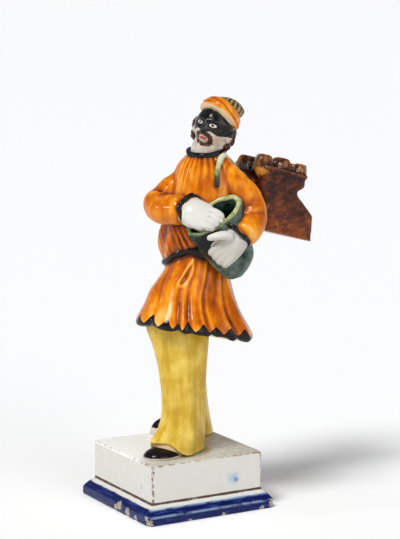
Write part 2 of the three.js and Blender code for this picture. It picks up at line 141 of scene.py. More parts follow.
def apart(a, b):
    """The smaller angle between two directions."""
    return atan2(sin(a - b), cos(a - b))


def step(value, low, high):
    """0 below low, 1 above high, smooth between them."""
    t = min(max((value - low) / (high - low), 0), 1)
    return t * t * (3 - 2 * t)


def ridges(folds, angle):
    """Ridges of cloth round a form: each is a direction in degrees, a width in degrees and a height."""
    return sum(height * hump(apart(angle, radians(at)), radians(width)) for at, width, height in folds)


def wander(x, y, z, scale, seed=0):
    """Smooth noise between about -1 and 1 whose lumps are scale millimetres apart."""
    return noise.noise(Vector((x / scale + seed, y / scale - seed, z / scale + 2 * seed)))


def form(around, along, place):
    """A closed form. place(angle, share, reach) gives the point at an angle round it and a share of the
    way up it. reach is 1 on its side and 0 at the middle of either end."""
    bm = bmesh.new()
    rings = along + 2
    bmesh.ops.create_uvsphere(bm, u_segments=around, v_segments=rings, radius=1)
    for v in bm.verts:
        ring = round(acos(max(-1, min(1, v.co.z))) / pi * rings)
        share = 1 - (min(max(ring, 1), rings - 1) - 1) / along
        v.co = place(atan2(v.co.y, v.co.x), share, 0 if ring in (0, rings) else 1)
    return bm


def upright(rows, around, along, relief=None, lift=None):
    """An upright form through level sections: height, x, y, half width, half depth and turn in degrees."""
    low, high = rows[0][0], rows[-1][0]

    def place(angle, share, reach):
        height = low + (high - low) * share
        x, y, wide, deep, turn = between(rows, height)
        proud = relief(angle, share) if relief else 0
        left = (wide + proud) * reach * cos(angle)
        back = (deep + proud) * reach * sin(angle)
        c, s = cos(radians(turn)), sin(radians(turn))
        up = reach * lift(angle, share) if lift else 0
        return x + left * c - back * s, y + left * s + back * c, height + up

    return form(around, along, place)


class Path:
    """A smooth curve through points, read by its share of the length."""

    def __init__(self, points):
        corners = [Vector(p) for p in points]
        first = corners[0] * 2 - corners[1]
        last = corners[-1] * 2 - corners[-2]
        corners = [first, *corners, last]
        self.points = []
        for i in range(1, len(corners) - 2):
            self.points += self.stretch(*corners[i - 1:i + 3])
        self.points.append(corners[-2])
        steps = [(b - a).length for a, b in zip(self.points, self.points[1:])]
        self.marks = np.concatenate([[0], np.cumsum(steps)])
        self.length = self.marks[-1]

    @staticmethod
    def stretch(a, b, c, d, count=24):
        gaps = [max((q - p).length, 1e-4) ** 0.5 for p, q in ((a, b), (b, c), (c, d))]
        leave = ((b - a) / gaps[0] - (c - a) / (gaps[0] + gaps[1]) + (c - b) / gaps[1]) * gaps[1]
        arrive = ((c - b) / gaps[1] - (d - b) / (gaps[1] + gaps[2]) + (d - c) / gaps[2]) * gaps[1]
        square = (c - b) * 3 - leave * 2 - arrive
        cube = (b - c) * 2 + leave + arrive
        return [b + leave * t + square * t ** 2 + cube * t ** 3 for t in (i / count for i in range(count))]

    def at(self, share):
        mark = min(max(share, 0), 1) * self.length
        i = min(int(np.searchsorted(self.marks, mark, side="right")) - 1, len(self.points) - 2)
        t = (mark - self.marks[i]) / (self.marks[i + 1] - self.marks[i])
        return self.points[i].lerp(self.points[i + 1], t)

    def heading(self, share):
        near, far = max(share - 0.01, 0), min(share + 0.01, 1)
        return (self.at(far) - self.at(near)).normalized()


def limb(points, girths, around, along, facing=(0, 0, 1), relief=None):
    """A rounded limb along a curve. Each girth is a share of the length, a half width and a half depth,
    where the depth lies towards facing."""
    path = Path(points)
    towards = Vector(facing)
    rings = {}

    def ring(level):
        share = 0.5 - 0.5 * cos(pi * level)
        heading = path.heading(share)
        side = heading.cross(towards).normalized()
        wide, deep = between(girths, share)
        to_end = min(share, 1 - share) * path.length / min(wide, deep)
        closing = sqrt(max(1 - max(1 - to_end, 0) ** 2, 0.0008))
        return share, path.at(share), side, side.cross(heading), wide, deep, closing

    def place(angle, level, reach):
        if level not in rings:
            rings[level] = ring(level)
        share, middle, side, top, wide, deep, closing = rings[level]
        proud = relief(angle, share) if relief else 0
        across = -(wide + proud) * closing * reach * cos(angle)
        out = (deep + proud) * closing * reach * sin(angle)
        return middle + side * across + top * out

    return form(around, along, place)


def lump(half, at, fineness, swell=None):
    """An egg or lump: half sizes along x, y and z, its place, and a swelling by direction."""
    bm = bmesh.new()
    bmesh.ops.create_icosphere(bm, subdivisions=fineness, radius=1)
    for v in bm.verts:
        grow = swell(v.co) if swell else 1
        v.co = [at[k] + half[k] * v.co[k] * grow for k in range(3)]
    return bm


def roll(centre, half_width, half_height, steps, sides):
    """A roll of clay laid in a ring. centre(angle) gives the point of the ring at an angle, and
    half_height may depend on the angle too."""
    bm = bmesh.new()
    made = bmesh.ops.create_circle(bm, segments=sides, radius=1, matrix=Matrix.Rotation(pi / 2, 4, "X"))
    bmesh.ops.translate(bm, verts=made["verts"], vec=(10, 0, 0))
    bmesh.ops.spin(
        bm, geom=bm.verts[:] + bm.edges[:], cent=(0, 0, 0), axis=(0, 0, 1), angle=WHOLE_TURN, steps=steps,
        use_merge=True)
    for v in bm.verts:
        angle = atan2(v.co.y, v.co.x)
        out = hypot(v.co.x, v.co.y) - 10
        x, y, z = centre(angle)
        high = half_height(angle) if callable(half_height) else half_height
        v.co = (x + out * half_width * cos(angle), y + out * half_width * sin(angle), z + v.co.z * high)
    bmesh.ops.recalc_face_normals(bm, faces=bm.faces)
    return bm


def turned(bm, matrix):
    bmesh.ops.transform(bm, matrix=matrix, verts=bm.verts)
    return bm


def gathered(forms):
    """Several forms in one mesh that can be searched."""
    whole = bmesh.new()
    for bm in forms:
        mesh = bpy.data.meshes.new("form")
        bm.to_mesh(mesh)
        whole.from_mesh(mesh)
        bpy.data.meshes.remove(mesh)
    return whole


def worked(bm, work):
    """The mesh that a form becomes once work(object) has given it its modifiers."""
    mesh = bpy.data.meshes.new("clay")
    bm.to_mesh(mesh)
    clay = bpy.data.objects.new("clay", mesh)
    bpy.context.scene.collection.objects.link(clay)
    work(clay)
    depsgraph = bpy.context.evaluated_depsgraph_get()
    made = bpy.data.meshes.new_from_object(clay.evaluated_get(depsgraph))
    bpy.data.objects.remove(clay)
    bpy.data.meshes.remove(mesh)
    return made


def hollowed(forms, cutter):
    """The forms with the cutter's space taken out of each."""
    mesh = bpy.data.meshes.new("cutter")
    cutter.to_mesh(mesh)
    knife = bpy.data.objects.new("cutter", mesh)
    bpy.context.scene.collection.objects.link(knife)

    def cut(clay):
        hollow = clay.modifiers.new("Hollow", "BOOLEAN")
        hollow.operation = "DIFFERENCE"
        hollow.solver = "MANIFOLD"
        hollow.object = knife

    cut_forms = []
    for bm in forms:
        made = worked(bm, cut)
        piece = bmesh.new()
        piece.from_mesh(made)
        bpy.data.meshes.remove(made)
        cut_forms.append(piece)
    bpy.data.objects.remove(knife)
    bpy.data.meshes.remove(mesh)
    return cut_forms


# Skins: overlapping forms fused into one clay body, with fields for the painter

def fused(groups, grain):
    """One closed skin round all the forms, in millimetres above the plinth."""
    def skin(clay):
        remesh = clay.modifiers.new("Skin", "REMESH")
        remesh.mode = "VOXEL"
        remesh.voxel_size = grain / MM
        soften = clay.modifiers.new("Soften", "SMOOTH")
        soften.factor = 0.5
        soften.iterations = 4

    return worked(gathered([bm for forms in groups.values() for bm in forms]), skin)


def vectors(collection, name, count):
    values = np.empty(count * 3)
    collection.foreach_get(name, values)
    return values.reshape(-1, 3)


def points_of(mesh):
    return vectors(mesh.vertices, "co", len(mesh.vertices))


def normals_of(mesh):
    return vectors(mesh.vertex_normals, "vector", len(mesh.vertices))


def relaxed(mesh, points, rounds):
    """The points after rounds of moving halfway to the middle of their neighbours."""
    ends = np.empty(len(mesh.edges) * 2, dtype=np.int64)
    mesh.edges.foreach_get("vertices", ends)
    a, b = ends.reshape(-1, 2).T
    count = len(points)
    near = np.maximum(np.bincount(a, minlength=count) + np.bincount(b, minlength=count), 1)
    for _ in range(rounds):
        total = np.stack([
            np.bincount(a, weights=points[b, k], minlength=count)
            + np.bincount(b, weights=points[a, k], minlength=count)
            for k in range(3)], axis=1)
        points = 0.5 * points + 0.5 * total / near[:, None]
    return points


def hollowness(mesh, rounds):
    """How far each point lies below its surroundings, in millimetres: creases are above 0, ridges below."""
    start = points_of(mesh)
    return ((relaxed(mesh, start, rounds) - start) * normals_of(mesh)).sum(axis=1)


def distances(mesh, groups):
    """Distance from each point of the skin to each group of forms."""
    found = {}
    for name, forms in groups.items():
        tree = BVHTree.FromBMesh(gathered(forms))
        found[name] = np.array([tree.find_nearest(v.co)[3] for v in mesh.vertices])
    return found


def margins(found):
    """How much nearer each point is to a group than to any other, above 0 inside that group's area."""
    names = list(found)
    return {name: np.min([found[other] for other in names if other != name], axis=0) - found[name]
            for name in names}


def store(mesh, name, values):
    field = mesh.attributes.new(name, "FLOAT", "POINT")
    field.data.foreach_set("value", np.asarray(values, dtype=np.float32))


def finished(name, mesh, material, replaces):
    """Moves a skin from millimetres above the plinth to metres in the frame, and puts it in the scene."""
    grow = sizes().figure_height / DRAWN_HEIGHT
    place = Matrix.Translation((0, FIGURE_BACK * MM, sizes().plinth_height))
    mesh.transform(place @ Matrix.Rotation(radians(FIGURE_TURN), 4, "Z") @ Matrix.Scale(grow, 4))
    return placed(name, mesh, material, replaces)


def placed(name, mesh, material, replaces):
    mesh.name = name
    mesh.shade_smooth()
    mesh.materials.clear()
    mesh.materials.append(material)
    piece = bpy.data.objects.new(name, mesh)
    bpy.context.scene.collection.objects.link(piece)
    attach(piece, "root")
    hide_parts(replaces)
    return piece


# Glazes

class Glaze:
    """The nodes of one glazed material, with short calls for the kinds used here."""

    def __init__(self, name):
        self.material = bpy.data.materials.new(name)
        self.material.use_nodes = True
        self.tree = self.material.node_tree
        self.shader = self.tree.nodes["Principled BSDF"]
        self.place = self.node("ShaderNodeTexCoord").outputs["Object"]

    def node(self, kind, **settings):
        made = self.tree.nodes.new(kind)
        for key, value in settings.items():
            setattr(made, key, value)
        return made

    def feed(self, socket, value):
        if isinstance(value, bpy.types.NodeSocket):
            self.tree.links.new(value, socket)
        elif hasattr(value, "__len__") and len(value) == 3 and socket.type == "RGBA":
            socket.default_value = (*value, 1)
        else:
            socket.default_value = value

    def field(self, name):
        return self.node("ShaderNodeAttribute", attribute_name=name).outputs["Fac"]

    def maths(self, operation, a, b=0.0, c=None):
        made = self.node("ShaderNodeMath", operation=operation)
        self.feed(made.inputs[0], a)
        self.feed(made.inputs[1], b)
        if c is not None:
            self.feed(made.inputs[2], c)
        return made.outputs[0]

    def add(self, a, b):
        return self.maths("ADD", a, b)

    def times(self, a, b):
        return self.maths("MULTIPLY", a, b)

    def scaled(self, value, by, plus):
        return self.maths("MULTIPLY_ADD", value, by, plus)

    def mottle(self, size, detail=3, stretch=(1, 1, 1), roughness=0.55, seed=0):
        """Cloudy noise whose patches are about size millimetres across."""
        mapping = self.node("ShaderNodeMapping")
        self.feed(mapping.inputs["Vector"], self.place)
        mapping.inputs["Location"].default_value = (seed * 0.37, seed * 0.61, seed * 0.83)
        mapping.inputs["Scale"].default_value = stretch
        cloud = self.node("ShaderNodeTexNoise")
        self.feed(cloud.inputs["Vector"], mapping.outputs[0])
        cloud.inputs["Scale"].default_value = 1 / (size * MM)
        cloud.inputs["Detail"].default_value = detail
        cloud.inputs["Roughness"].default_value = roughness
        return cloud.outputs["Fac"]

    def range(self, value, low, high, to_low=0.0, to_high=1.0):
        made = self.node("ShaderNodeMapRange", interpolation_type="SMOOTHSTEP")
        for socket, number in zip(made.inputs[:5], (value, low, high, to_low, to_high)):
            self.feed(socket, number)
        return made.outputs["Result"]

    def mix(self, factor, under, over):
        made = self.node("ShaderNodeMix", data_type="RGBA")
        self.feed(made.inputs["Factor"], factor)
        self.feed(made.inputs["A"], under)
        self.feed(made.inputs["B"], over)
        return made.outputs[2]

    def inside(self, field, soft=0.3, wobble=0.5, size=2.2, seed=1):
        """1 where a painted field is above 0, with a hand-drawn edge. Sizes in millimetres."""
        shake = self.maths("MULTIPLY_ADD", self.mottle(size, 2, seed=seed), 2 * wobble, -wobble)
        return self.range(self.maths("ADD", self.field(field), shake), -soft, soft)

    def blend(self, value, *stops):
        """Colours along a value: each stop is a place and a colour."""
        made = self.node("ShaderNodeValToRGB")
        marks = made.color_ramp.elements
        while len(marks) < len(stops):
            marks.new(0.5)
        for mark, (place, colour) in zip(marks, stops):
            mark.position = place
            mark.color = (*colour, 1)
        self.feed(made.inputs[0], value)
        return made.outputs[0]

    def finish(self, colour, roughness=(0.08, 0.22), relief=0.055):
        """A glossy fired surface: uneven glaze, fine pits and a slight change in gloss."""
        self.feed(self.shader.inputs["Base Color"], colour)
        gloss = self.range(self.mottle(5, 4, seed=7), 0.3, 0.75, *roughness)
        self.feed(self.shader.inputs["Roughness"], gloss)
        self.shader.inputs["Specular IOR Level"].default_value = 0.21
        swell = self.maths("MULTIPLY", self.mottle(4.5, 3, seed=11), relief * MM * 2)
        pits = self.maths("MULTIPLY", self.range(self.mottle(0.9, 2, seed=13), 0.18, 0.34), relief * MM * 0.8)
        bump = self.node("ShaderNodeBump")
        bump.inputs["Strength"].default_value = 1
        bump.inputs["Distance"].default_value = 1
        self.feed(bump.inputs["Height"], self.maths("ADD", swell, pits))
        self.feed(self.shader.inputs["Normal"], bump.outputs[0])
        return self.material


def cloth_orange(glaze, seed=0):
    """Orange with amber lights on the ridges, brushed streaks, rust in the creases and painted light and
    shade.
    """
    tint = colours()
    clouds = glaze.scaled(glaze.mottle(14, 4, (1, 1, 0.6), seed=seed), 1.2, -0.55)
    streaks = glaze.scaled(glaze.mottle(2.8, 2, (1, 1, 0.2), seed=seed + 3), 0.45, -0.2)
    fine = glaze.times(glaze.field("crease"), -1.2)
    # Painted shade: the orange grows darker in the broad hollows.
    broad = glaze.times(glaze.field("hollow"), -0.35)
    tone = glaze.add(glaze.add(clouds, streaks), glaze.add(fine, broad))
    # Painted light and shade from the shade field: paler where lit, deeper where shaded.
    tone = glaze.add(tone, glaze.scaled(glaze.field("shade"), 0.16, 0.44))
    burnt = tuple(0.5 * a + 0.5 * b for a, b in zip(tint.orange, tint.rust))
    # The palest stop is also the colour of the painted highlight on the skirt's front.
    return glaze.blend(
        tone, (0.0, tint.rust), (0.28, burnt), (0.5, tint.orange), (0.78, tint.amber),
        (1.0, (0.82, 0.42, 0.09)))


# Trousers and shoes

# Sections of the legs: height, x, y, half width, half depth and turn in degrees.
LEFT_LEG = [
    (0.6, 14.2, -9.6, 14.3, 18.3, 8), (12, 15, -7, 13.4, 15.6, 8), (28, 15.4, -5.4, 12.4, 13.8, 6),
    (50, 15, -5.2, 12.8, 15, 4), (68, 11.5, -4.4, 15, 17.8, 2), (84, 6.5, -4, 17, 21, 0),
    (94, 6, 0, 17, 20, 0),
]
RIGHT_LEG = [
    (0.6, -24, 20, 14.2, 16.2, -6), (12, -23.5, 18.5, 13.2, 14.8, -6), (28, -21.5, 16.5, 12.2, 13.6, -4),
    (50, -16.5, 11.6, 12.6, 14.2, -2), (68, -10, 8, 14, 16.6, 0), (94, -4, 8, 15, 18, 0),
]
LEG_FOLDS = [
    (-160, 15, 1.2), (-122, 12, -1), (-84, 14, 1.3), (-46, 13, -1), (-8, 14, 1.3), (32, 13, -0.8),
    (75, 16, 1), (125, 18, 0.9),
]
HEM_LIFT = 8.6
# Thickness of the pale sole under his right and left shoe.
RIGHT_SOLE, LEFT_SOLE = 4.6, 1


def trouser_leg(rows, seed):
    def relief(angle, share):
        broad = ridges(LEG_FOLDS, angle + 0.4 * share) * (1.1 - 0.7 * share)
        fine = 0.25 * sin(11 * angle + 5 * share + seed) * (1 - share)
        return broad + fine + 0.35 * wander(6 * cos(angle), 6 * sin(angle), 30 * share, 5, seed)

    def lift(angle, share):
        return HEM_LIFT * exp(-((apart(angle, radians(-72)) / 0.85) ** 4)) * hump(share, 0.16)

    return upright(rows, 96, 90, relief, lift)


def shoe(half, x, y, heading):
    """A rounded toe on a flat sole, by its half width, half length and height."""
    bm = lump(half, (0, 0, 0), 5)
    for v in bm.verts:
        v.co.z = max(v.co.z, 0)
    return turned(bm, Matrix.Translation((x, y, 0)) @ Matrix.Rotation(radians(heading), 4, "Z"))


def trouser_glaze():
    tint = colours()
    glaze = Glaze("yellow_glaze")
    clouds = glaze.scaled(glaze.mottle(12, 4, seed=2), 0.9, -0.45)
    streaks = glaze.scaled(glaze.mottle(4, 3, (1, 1, 0.16), seed=5), 0.6, -0.3)
    # Painted shade: the yellow grows darker in the broad hollows of the folds.
    folds = glaze.times(glaze.field("hollow"), -0.35)
    tone = glaze.add(glaze.add(clouds, streaks), glaze.add(folds, 0.58))
    yellow = glaze.blend(tone, (0.1, tint.straw), (0.55, tint.yellow), (0.95, (0.78, 0.58, 0.13)))
    freckles = glaze.range(glaze.mottle(1.6, 2, seed=9), 0.74, 0.8)
    colour = glaze.mix(freckles, yellow, (0.2, 0.1, 0.03))
    colour = glaze.mix(glaze.inside("stocking", 0.35, 0.5), colour, (0.52, 0.38, 0.25))
    colour = glaze.mix(glaze.inside("shoe", 0.25, 0.3), colour, tint.black)
    colour = glaze.mix(glaze.inside("sole", 0.2, 0.35, 1.6), colour, (0.6, 0.54, 0.43))
    return glaze.finish(colour)


class FIGURE_OT_legs(bpy.types.Operator):
    """Makes the yellow trousers and the black shoes"""
    bl_idname = "figure.legs"
    bl_label = "Trousers and shoes"

    def execute(self, context):
        groups = {
            "trousers": [trouser_leg(LEFT_LEG, 1), trouser_leg(RIGHT_LEG, 4)],
            "stocking": [shoe((9.4, 11.6, 9.4), 17.8, -17.6, 12), shoe((6.4, 10, 12), -30, 13, -12)],
            "shoe": [shoe((10.2, 13.2, 6.5), 19.4, -22.2, 12), shoe((7, 11.5, 10.8), -33, 8.8, -12)],
        }
        mesh = fused(groups, sizes().body_grain)
        near = margins(distances(mesh, groups))
        store(mesh, "shoe", near["shoe"])
        store(mesh, "stocking", near["stocking"])
        points = points_of(mesh)
        sole = np.where(points[:, 0] < 0, RIGHT_SOLE, LEFT_SOLE)
        store(mesh, "sole", np.minimum(near["shoe"], sole - points[:, 2]))
        store(mesh, "hollow", hollowness(mesh, 60))
        finished("trousers_and_shoes", mesh, trouser_glaze(), "figure")
        return {"FINISHED"}


# Tunic, arms, hands and sack

WAIST = (5.6, 10.3, 125.6)
SKIRT_ROWS = [
    (66, 6.9, 8.4, 33.6, 34.6, 0), (68, 6.9, 8.3, 35.6, 36.8, 0), (71, 6.8, 8.2, 35.9, 37, 0),
    (76, 6.5, 8, 34.6, 35.4, 0), (86, 5.8, 7.4, 30.8, 31, 0), (98, 5, 7, 26.6, 26.8, 0),
    (110, 5, 8, 22.8, 22.8, 0), (119, 5.4, 9.6, 20, 19.6, 0), (125, 5.6, 10.3, 18.6, 18, 0),
]
SKIRT_FOLDS = [
    (-100, 13, 1.8), (-79, 4, -0.9), (-62, 10, 2), (-46, 4, -1.8), (-38, 4, 1.4), (-32, 3, -0.8),
    (-24, 7, 1.6), (-15, 2.4, 1.1), (-10, 2.6, -1.2), (3, 9, -1.1), (14, 3.5, 1.6), (21, 3, -1.2),
    (36, 7, 2.4), (48, 3, -1.2), (60, 7, -1.3), (80, 9, 2.2), (100, 7, -1.3), (120, 9, 2.2),
    (142, 7, -1.3), (163, 9, 2.3), (184, 7, -1.3), (205, 9, 2.2), (229, 7, -1.3),
]
HEM_MEAN, HEM_TILT, HEM_HIGH_AT = 7.8, 8, -75
# Directions of the points of the hem's black band.
HEM_POINTS = [
    -96, -76, -56, -45.5, -36.5, -20.5, -6, 10.5, 31, 48, 64, 82, 98, 115, 130, 147, 163, 180, 196,
    213, 230, 247,
]
UNDERSIDE, UNDERSIDE_DEPTH = 0.3, 6.5
CHEST_TURN = 37
BLOUSE_ROWS = [
    (122, 5.6, 10.3, 18.5, 17.8, 20), (127, 5.7, 10.4, 22.4, 21, 26), (134, 6.2, 10.8, 24.4, 21.8, 34),
    (146, 7, 12, 23.8, 20, CHEST_TURN), (160, 7.8, 13.4, 22.2, 17.6, CHEST_TURN),
    (172, 8.2, 14.4, 21.4, 15.6, CHEST_TURN), (180, 8.4, 15, 18.8, 13.8, CHEST_TURN),
    (186, 8.5, 15.3, 14, 11.8, CHEST_TURN), (189, 8.6, 15.6, 10.4, 9.8, CHEST_TURN),
]
BLOUSE_FOLDS = [
    (-155, 9, 1.6), (-132, 8, -1.2), (-114, 9, 1.3), (180, 12, -1), (20, 10, 1.2), (90, 16, 1.4),
    (130, 12, -1),
]
RIGHT_ARM = [
    (2, 13, 178), (-3, 2.9, 168), (-6, -10.2, 157), (1.8, -12.6, 154), (13, -8.6, 154.4), (23.4, -3.6, 155.2),
]
LEFT_ARM = [
    (16, 21, 181), (21.4, 25.6, 173), (28, 34, 160), (30.6, 35.8, 149), (36.2, 29.2, 142),
    (40.2, 20.6, 138.6),
]
# Girths hold a share of the length, a half width and a half depth.
SLEEVE_GIRTHS = [(0, 7, 7), (0.16, 8.4, 8.4), (0.5, 9.6, 9.6), (0.8, 9.4, 9.4), (1, 9, 9.2)]
# The sack's sections hold a level, the middle's x, y and z, and the halves along and across its mouth.
SACK_ALONG, SACK_ACROSS = Vector((0.242, 0.867, 0.438)), Vector((-0.625, 0.378, 0.68))
SACK_ROWS = [
    (0, 29, 28, 115.4, 4.5, 3.6), (0.1, 29.2, 27.4, 117, 8.6, 7.4), (0.32, 30.2, 24.4, 124.2, 12.8, 10.6),
    (0.6, 31, 17.4, 134.9, 15.6, 11.6), (0.82, 31.1, 11.4, 145.3, 18, 12),
    (0.95, 30.5, 9.1, 151.2, 19.4, 12.6), (1, 30.5, 9.1, 152.2, 18.2, 11.4),
]
SACK_WALL = 2.2
SACK_FLOOR = 0.68
SACK_LIP_LEAN = 7.5
SACK_LIP_TOWARDS = Vector((0.865, -0.476, 0.16))
LEFT_STRAP = [
    (11, 49, 168), (13.6, 35, 177.6), (16.4, 27, 185), (20.2, 21.4, 187.8), (24, 16.6, 184.4), (27, 13, 179),
    (28.6, 11.8, 168.4),
]
RIGHT_STRAP = [(-4, 47, 168), (-3, 33, 178), (-3, 21, 185), (-5, 9, 183), (-5, 3, 177), (-1.4, -0.8, 168)]


def waist_rise(angle):
    """The waist sits lower at his front right, where the blouse sags, and higher towards the sack."""
    return 5.2 * hump(apart(angle, radians(-38)), 0.55) - 5.8 * hump(apart(angle, radians(-125)), 0.75)


def hem_height(angle):
    waves = 0.25 * ridges(SKIRT_FOLDS, angle) + 0.35 * sin(7 * angle + 1)
    return HEM_MEAN + HEM_TILT * cos(angle - radians(HEM_HIGH_AT)) - waves


def skirt_relief(angle, share):
    """Deep folds that die out towards the waist, with sharper creases between them."""
    folds = ridges(SKIRT_FOLDS, angle + 0.1 * sin(5 * share) * cos(2 * angle)) * (1.05 - 0.9 * share)
    crimp = 0.16 * sin(19 * angle + 3 * sin(2 * angle)) * step(share, 0.3, 0.85)
    uneven = 0.5 * wander(7 * cos(angle), 7 * sin(angle), 12 * share, 3.4, 2) * (1 - 0.5 * share)
    return folds + crimp + uneven + dart(angle, share)


def dart(angle, share):
    """A leaf-shaped loop of cloth with a raised rim, high on the front of the skirt."""
    up = (share - 0.77) * 54
    across = apart(angle, radians(-40)) * 22 - 0.32 * up
    far = hypot(across / (2.6 - 0.08 * up), up / 6.8)
    return 1.2 * hump(far - 1, 0.26) - 1.7 * hump(far, 0.62)


def skirt():
    """The bell of the skirt, closed underneath by a shallow recess behind a thick hem."""
    low, high = SKIRT_ROWS[0][0], SKIRT_ROWS[-1][0]

    def place(angle, share, reach):
        side = max((share - UNDERSIDE) / (1 - UNDERSIDE), 0)
        inward = min(share / UNDERSIDE, 1)
        height = low + (high - low) * side
        x, y, wide, deep, _ = between(SKIRT_ROWS, height)
        proud = skirt_relief(angle, side)
        lift = hem_height(angle) * max(1 - 1.3 * side, 0) + waist_rise(angle) * side ** 3
        recess = UNDERSIDE_DEPTH * (1 - step(inward, 0.72, 0.9))
        spread = reach * inward
        return (x + (wide + proud) * spread * cos(angle), y + (deep + proud) * spread * sin(angle),
                height + lift * min(spread * 1.2, 1) + recess)

    return form(240, 150, place)


def sash():
    """A rough black roll, thickest under the sack."""
    x, y, z = WAIST

    def knot(angle):
        return hump(apart(angle, radians(-14)), 0.42)

    def centre(angle):
        out = 20.6 + 0.3 * sin(9 * angle) + 0.6 * knot(angle)
        drop = 0.6 + 1.2 * knot(angle) + 0.3 * sin(6 * angle)
        return x + out * cos(angle), y + (out - 0.6) * sin(angle), z + waist_rise(angle) - drop

    return roll(centre, 2.2, lambda angle: 2.3 + 1.6 * knot(angle) + 0.25 * sin(11 * angle), 140, 16)


def blouse():
    def relief(angle, share):
        gathers = 0.34 * cos(31 * angle + 2.6 * sin(3 * angle)) + 0.25 * cos(11 * angle + sin(4 * angle))
        sag = ridges(BLOUSE_FOLDS, angle) * hump(share - 0.2, 0.2)
        twist = 34 * angle + 80 * share
        pleats = (0.42 * sin(twist + 1.5 * sin(3 * angle)) + 0.3 * sin(1.3 * twist)) * hump(share - 0.2, 0.15)
        where = 0.25 + 0.75 * hump(apart(angle, radians(-78)), 0.62)
        uneven = 0.7 * wander(8 * cos(angle), 8 * sin(angle), 40 * share, 4.6, 5)
        return gathers * step(share, 0.55, 0.95) + sag + pleats * where + uneven

    def lift(angle, share):
        return waist_rise(angle + radians(20)) * max(1 - 4 * share, 0)

    return upright(BLOUSE_ROWS, 200, 96, relief, lift)


def sleeve(points, crease_at, seed):
    def relief(angle, share):
        bend = 0.9 * hump(share - crease_at - 0.08, 0.04) - 1.5 * hump(share - crease_at, 0.04)
        where = hump(share - 0.95, 0.08) + 0.35 * hump(share - 0.3, 0.15)
        rings = 0.5 * sin(44 * share + 1.4 * cos(angle) + seed) * where
        uneven = 0.45 * wander(6 * cos(angle), 6 * sin(angle), 40 * share, 4.5, seed)
        return bend * hump(apart(angle, pi / 2), 1.2) + rings * hump(apart(angle, pi / 2), 1.4) + uneven

    return limb(points, SLEEVE_GIRTHS, 88, 76, (0.35, -0.6, 1), relief)


RIGHT_PALM_GIRTHS = [(0, 8.8, 6.5), (0.45, 9.8, 6.2), (1, 8.6, 3.6)]
LEFT_PALM_GIRTHS = [(0, 7.6, 6), (0.45, 8.8, 5.4), (1, 8.6, 3.4)]
FINGER_GIRTHS = [(0, 2.5, 2.6), (0.6, 2.5, 2.5), (1, 2, 1.9)]
THUMB_GIRTHS = [(0, 3.4, 3.2), (0.5, 3.1, 2.8), (1, 1.7, 1.8)]
FINGER_PITCH = 4


def hand(wrist, knuckles, tips, facing, thumb, girths, closing, cover):
    """A broad smooth back that covers a share of the fingers, four thick fingers and a thumb."""
    start, middle, end, out = (Vector(p) for p in (wrist, knuckles, tips, facing))
    across = (middle - start).cross(out).normalized()
    out.normalize()
    forms = []
    for place in (-1.5, -0.5, 0.5, 1.5):
        root = middle + across * place * FINGER_PITCH
        tip = end + across * place * FINGER_PITCH * closing
        tip = tip.lerp(root, 0.07 * abs(place + 0.5))
        bend = root.lerp(tip, 0.5) + out * 1.2
        forms.append(limb([root.lerp(start, 0.15), bend, tip], FINGER_GIRTHS, 22, 26, facing))
    palm = [start, start.lerp(middle, 0.6), middle.lerp(end, cover)]
    forms.append(limb(palm, girths, 48, 40, facing))
    forms.append(limb(thumb, THUMB_GIRTHS, 24, 26))
    return forms


def right_hand():
    thumb = [(27, -4, 149), (32, 0.5, 144), (36, 5, 142)]
    return hand((18, -7, 156), (32, 0.6, 151.6), (37.2, 10.2, 147), (0.74, -0.4, 0.54), thumb,
                RIGHT_PALM_GIRTHS, 0.75, 0.45)


def left_hand():
    thumb = [(44, 14.6, 140), (44.4, 6.4, 141.2), (41, -2.2, 139.4)]
    return hand((38.8, 22.4, 140.6), (43.8, 10, 131), (39.4, 4.2, 124.4), (0.876, -0.482, 0.1), thumb,
                LEFT_PALM_GIRTHS, 0.9, 0.7)


def cuff(middle, opening, girth):
    """The black edge at the end of a sleeve, which opens towards a direction."""
    def centre(angle):
        rough = 0.3 * sin(5 * angle) + 0.3 * sin(9 * angle + 1)
        return (girth + rough) * cos(angle), (girth + rough) * sin(angle), 0.6 * sin(4 * angle)

    turn = Vector(opening).to_track_quat("Z", "Y").to_matrix().to_4x4()
    ring = roll(centre, 1.4, lambda angle: 1.4 + 0.35 * sin(6 * angle + 2), 72, 12)
    return turned(ring, Matrix.Translation(middle) @ turn)


def sack_point(angle, level, inset, reach):
    """A point on the bag's wall, where the lip on the chest's side stands forward."""
    x, y, z, long, short = between(SACK_ROWS, level)
    slack = 1 + 0.05 * cos(5 * angle + 4 * level) * (1 - level) + 0.015 * sin(9 * angle + 14 * level)
    a = (long - inset) * slack * reach * cos(angle)
    b = (short - inset) * slack * reach * sin(angle)
    lean = SACK_LIP_LEAN * step(level, 0.6, 1) * max(sin(angle), 0) * reach
    return Vector((x, y, z)) + SACK_ALONG * a + SACK_ACROSS * b + SACK_LIP_TOWARDS * lean


def sack():
    return form(110, 90, lambda angle, share, reach: sack_point(angle, share, 0, reach))


def sack_hollow():
    """The room inside the bag and a little above its mouth."""
    brim = 0.8
    outward = SACK_ALONG.cross(SACK_ACROSS).normalized()

    def place(angle, share, reach):
        level = min(SACK_FLOOR + (1 - SACK_FLOOR) * share / brim, 1)
        above = max(share - brim, 0) / (1 - brim)
        return sack_point(angle, level, SACK_WALL - 0.8 * above, reach) + outward * 5 * above

    return form(90, 60, place)


def sack_rim():
    """The rolled edge of the mouth, widest towards his left."""
    def centre(angle):
        return sack_point(angle, 0.97, 1.4 + 0.5 * cos(angle), 1)

    return limb_ring(centre, lambda angle: 1.1 + 0.3 * max(cos(angle), 0) + 0.15 * sin(7 * angle), 120, 14)


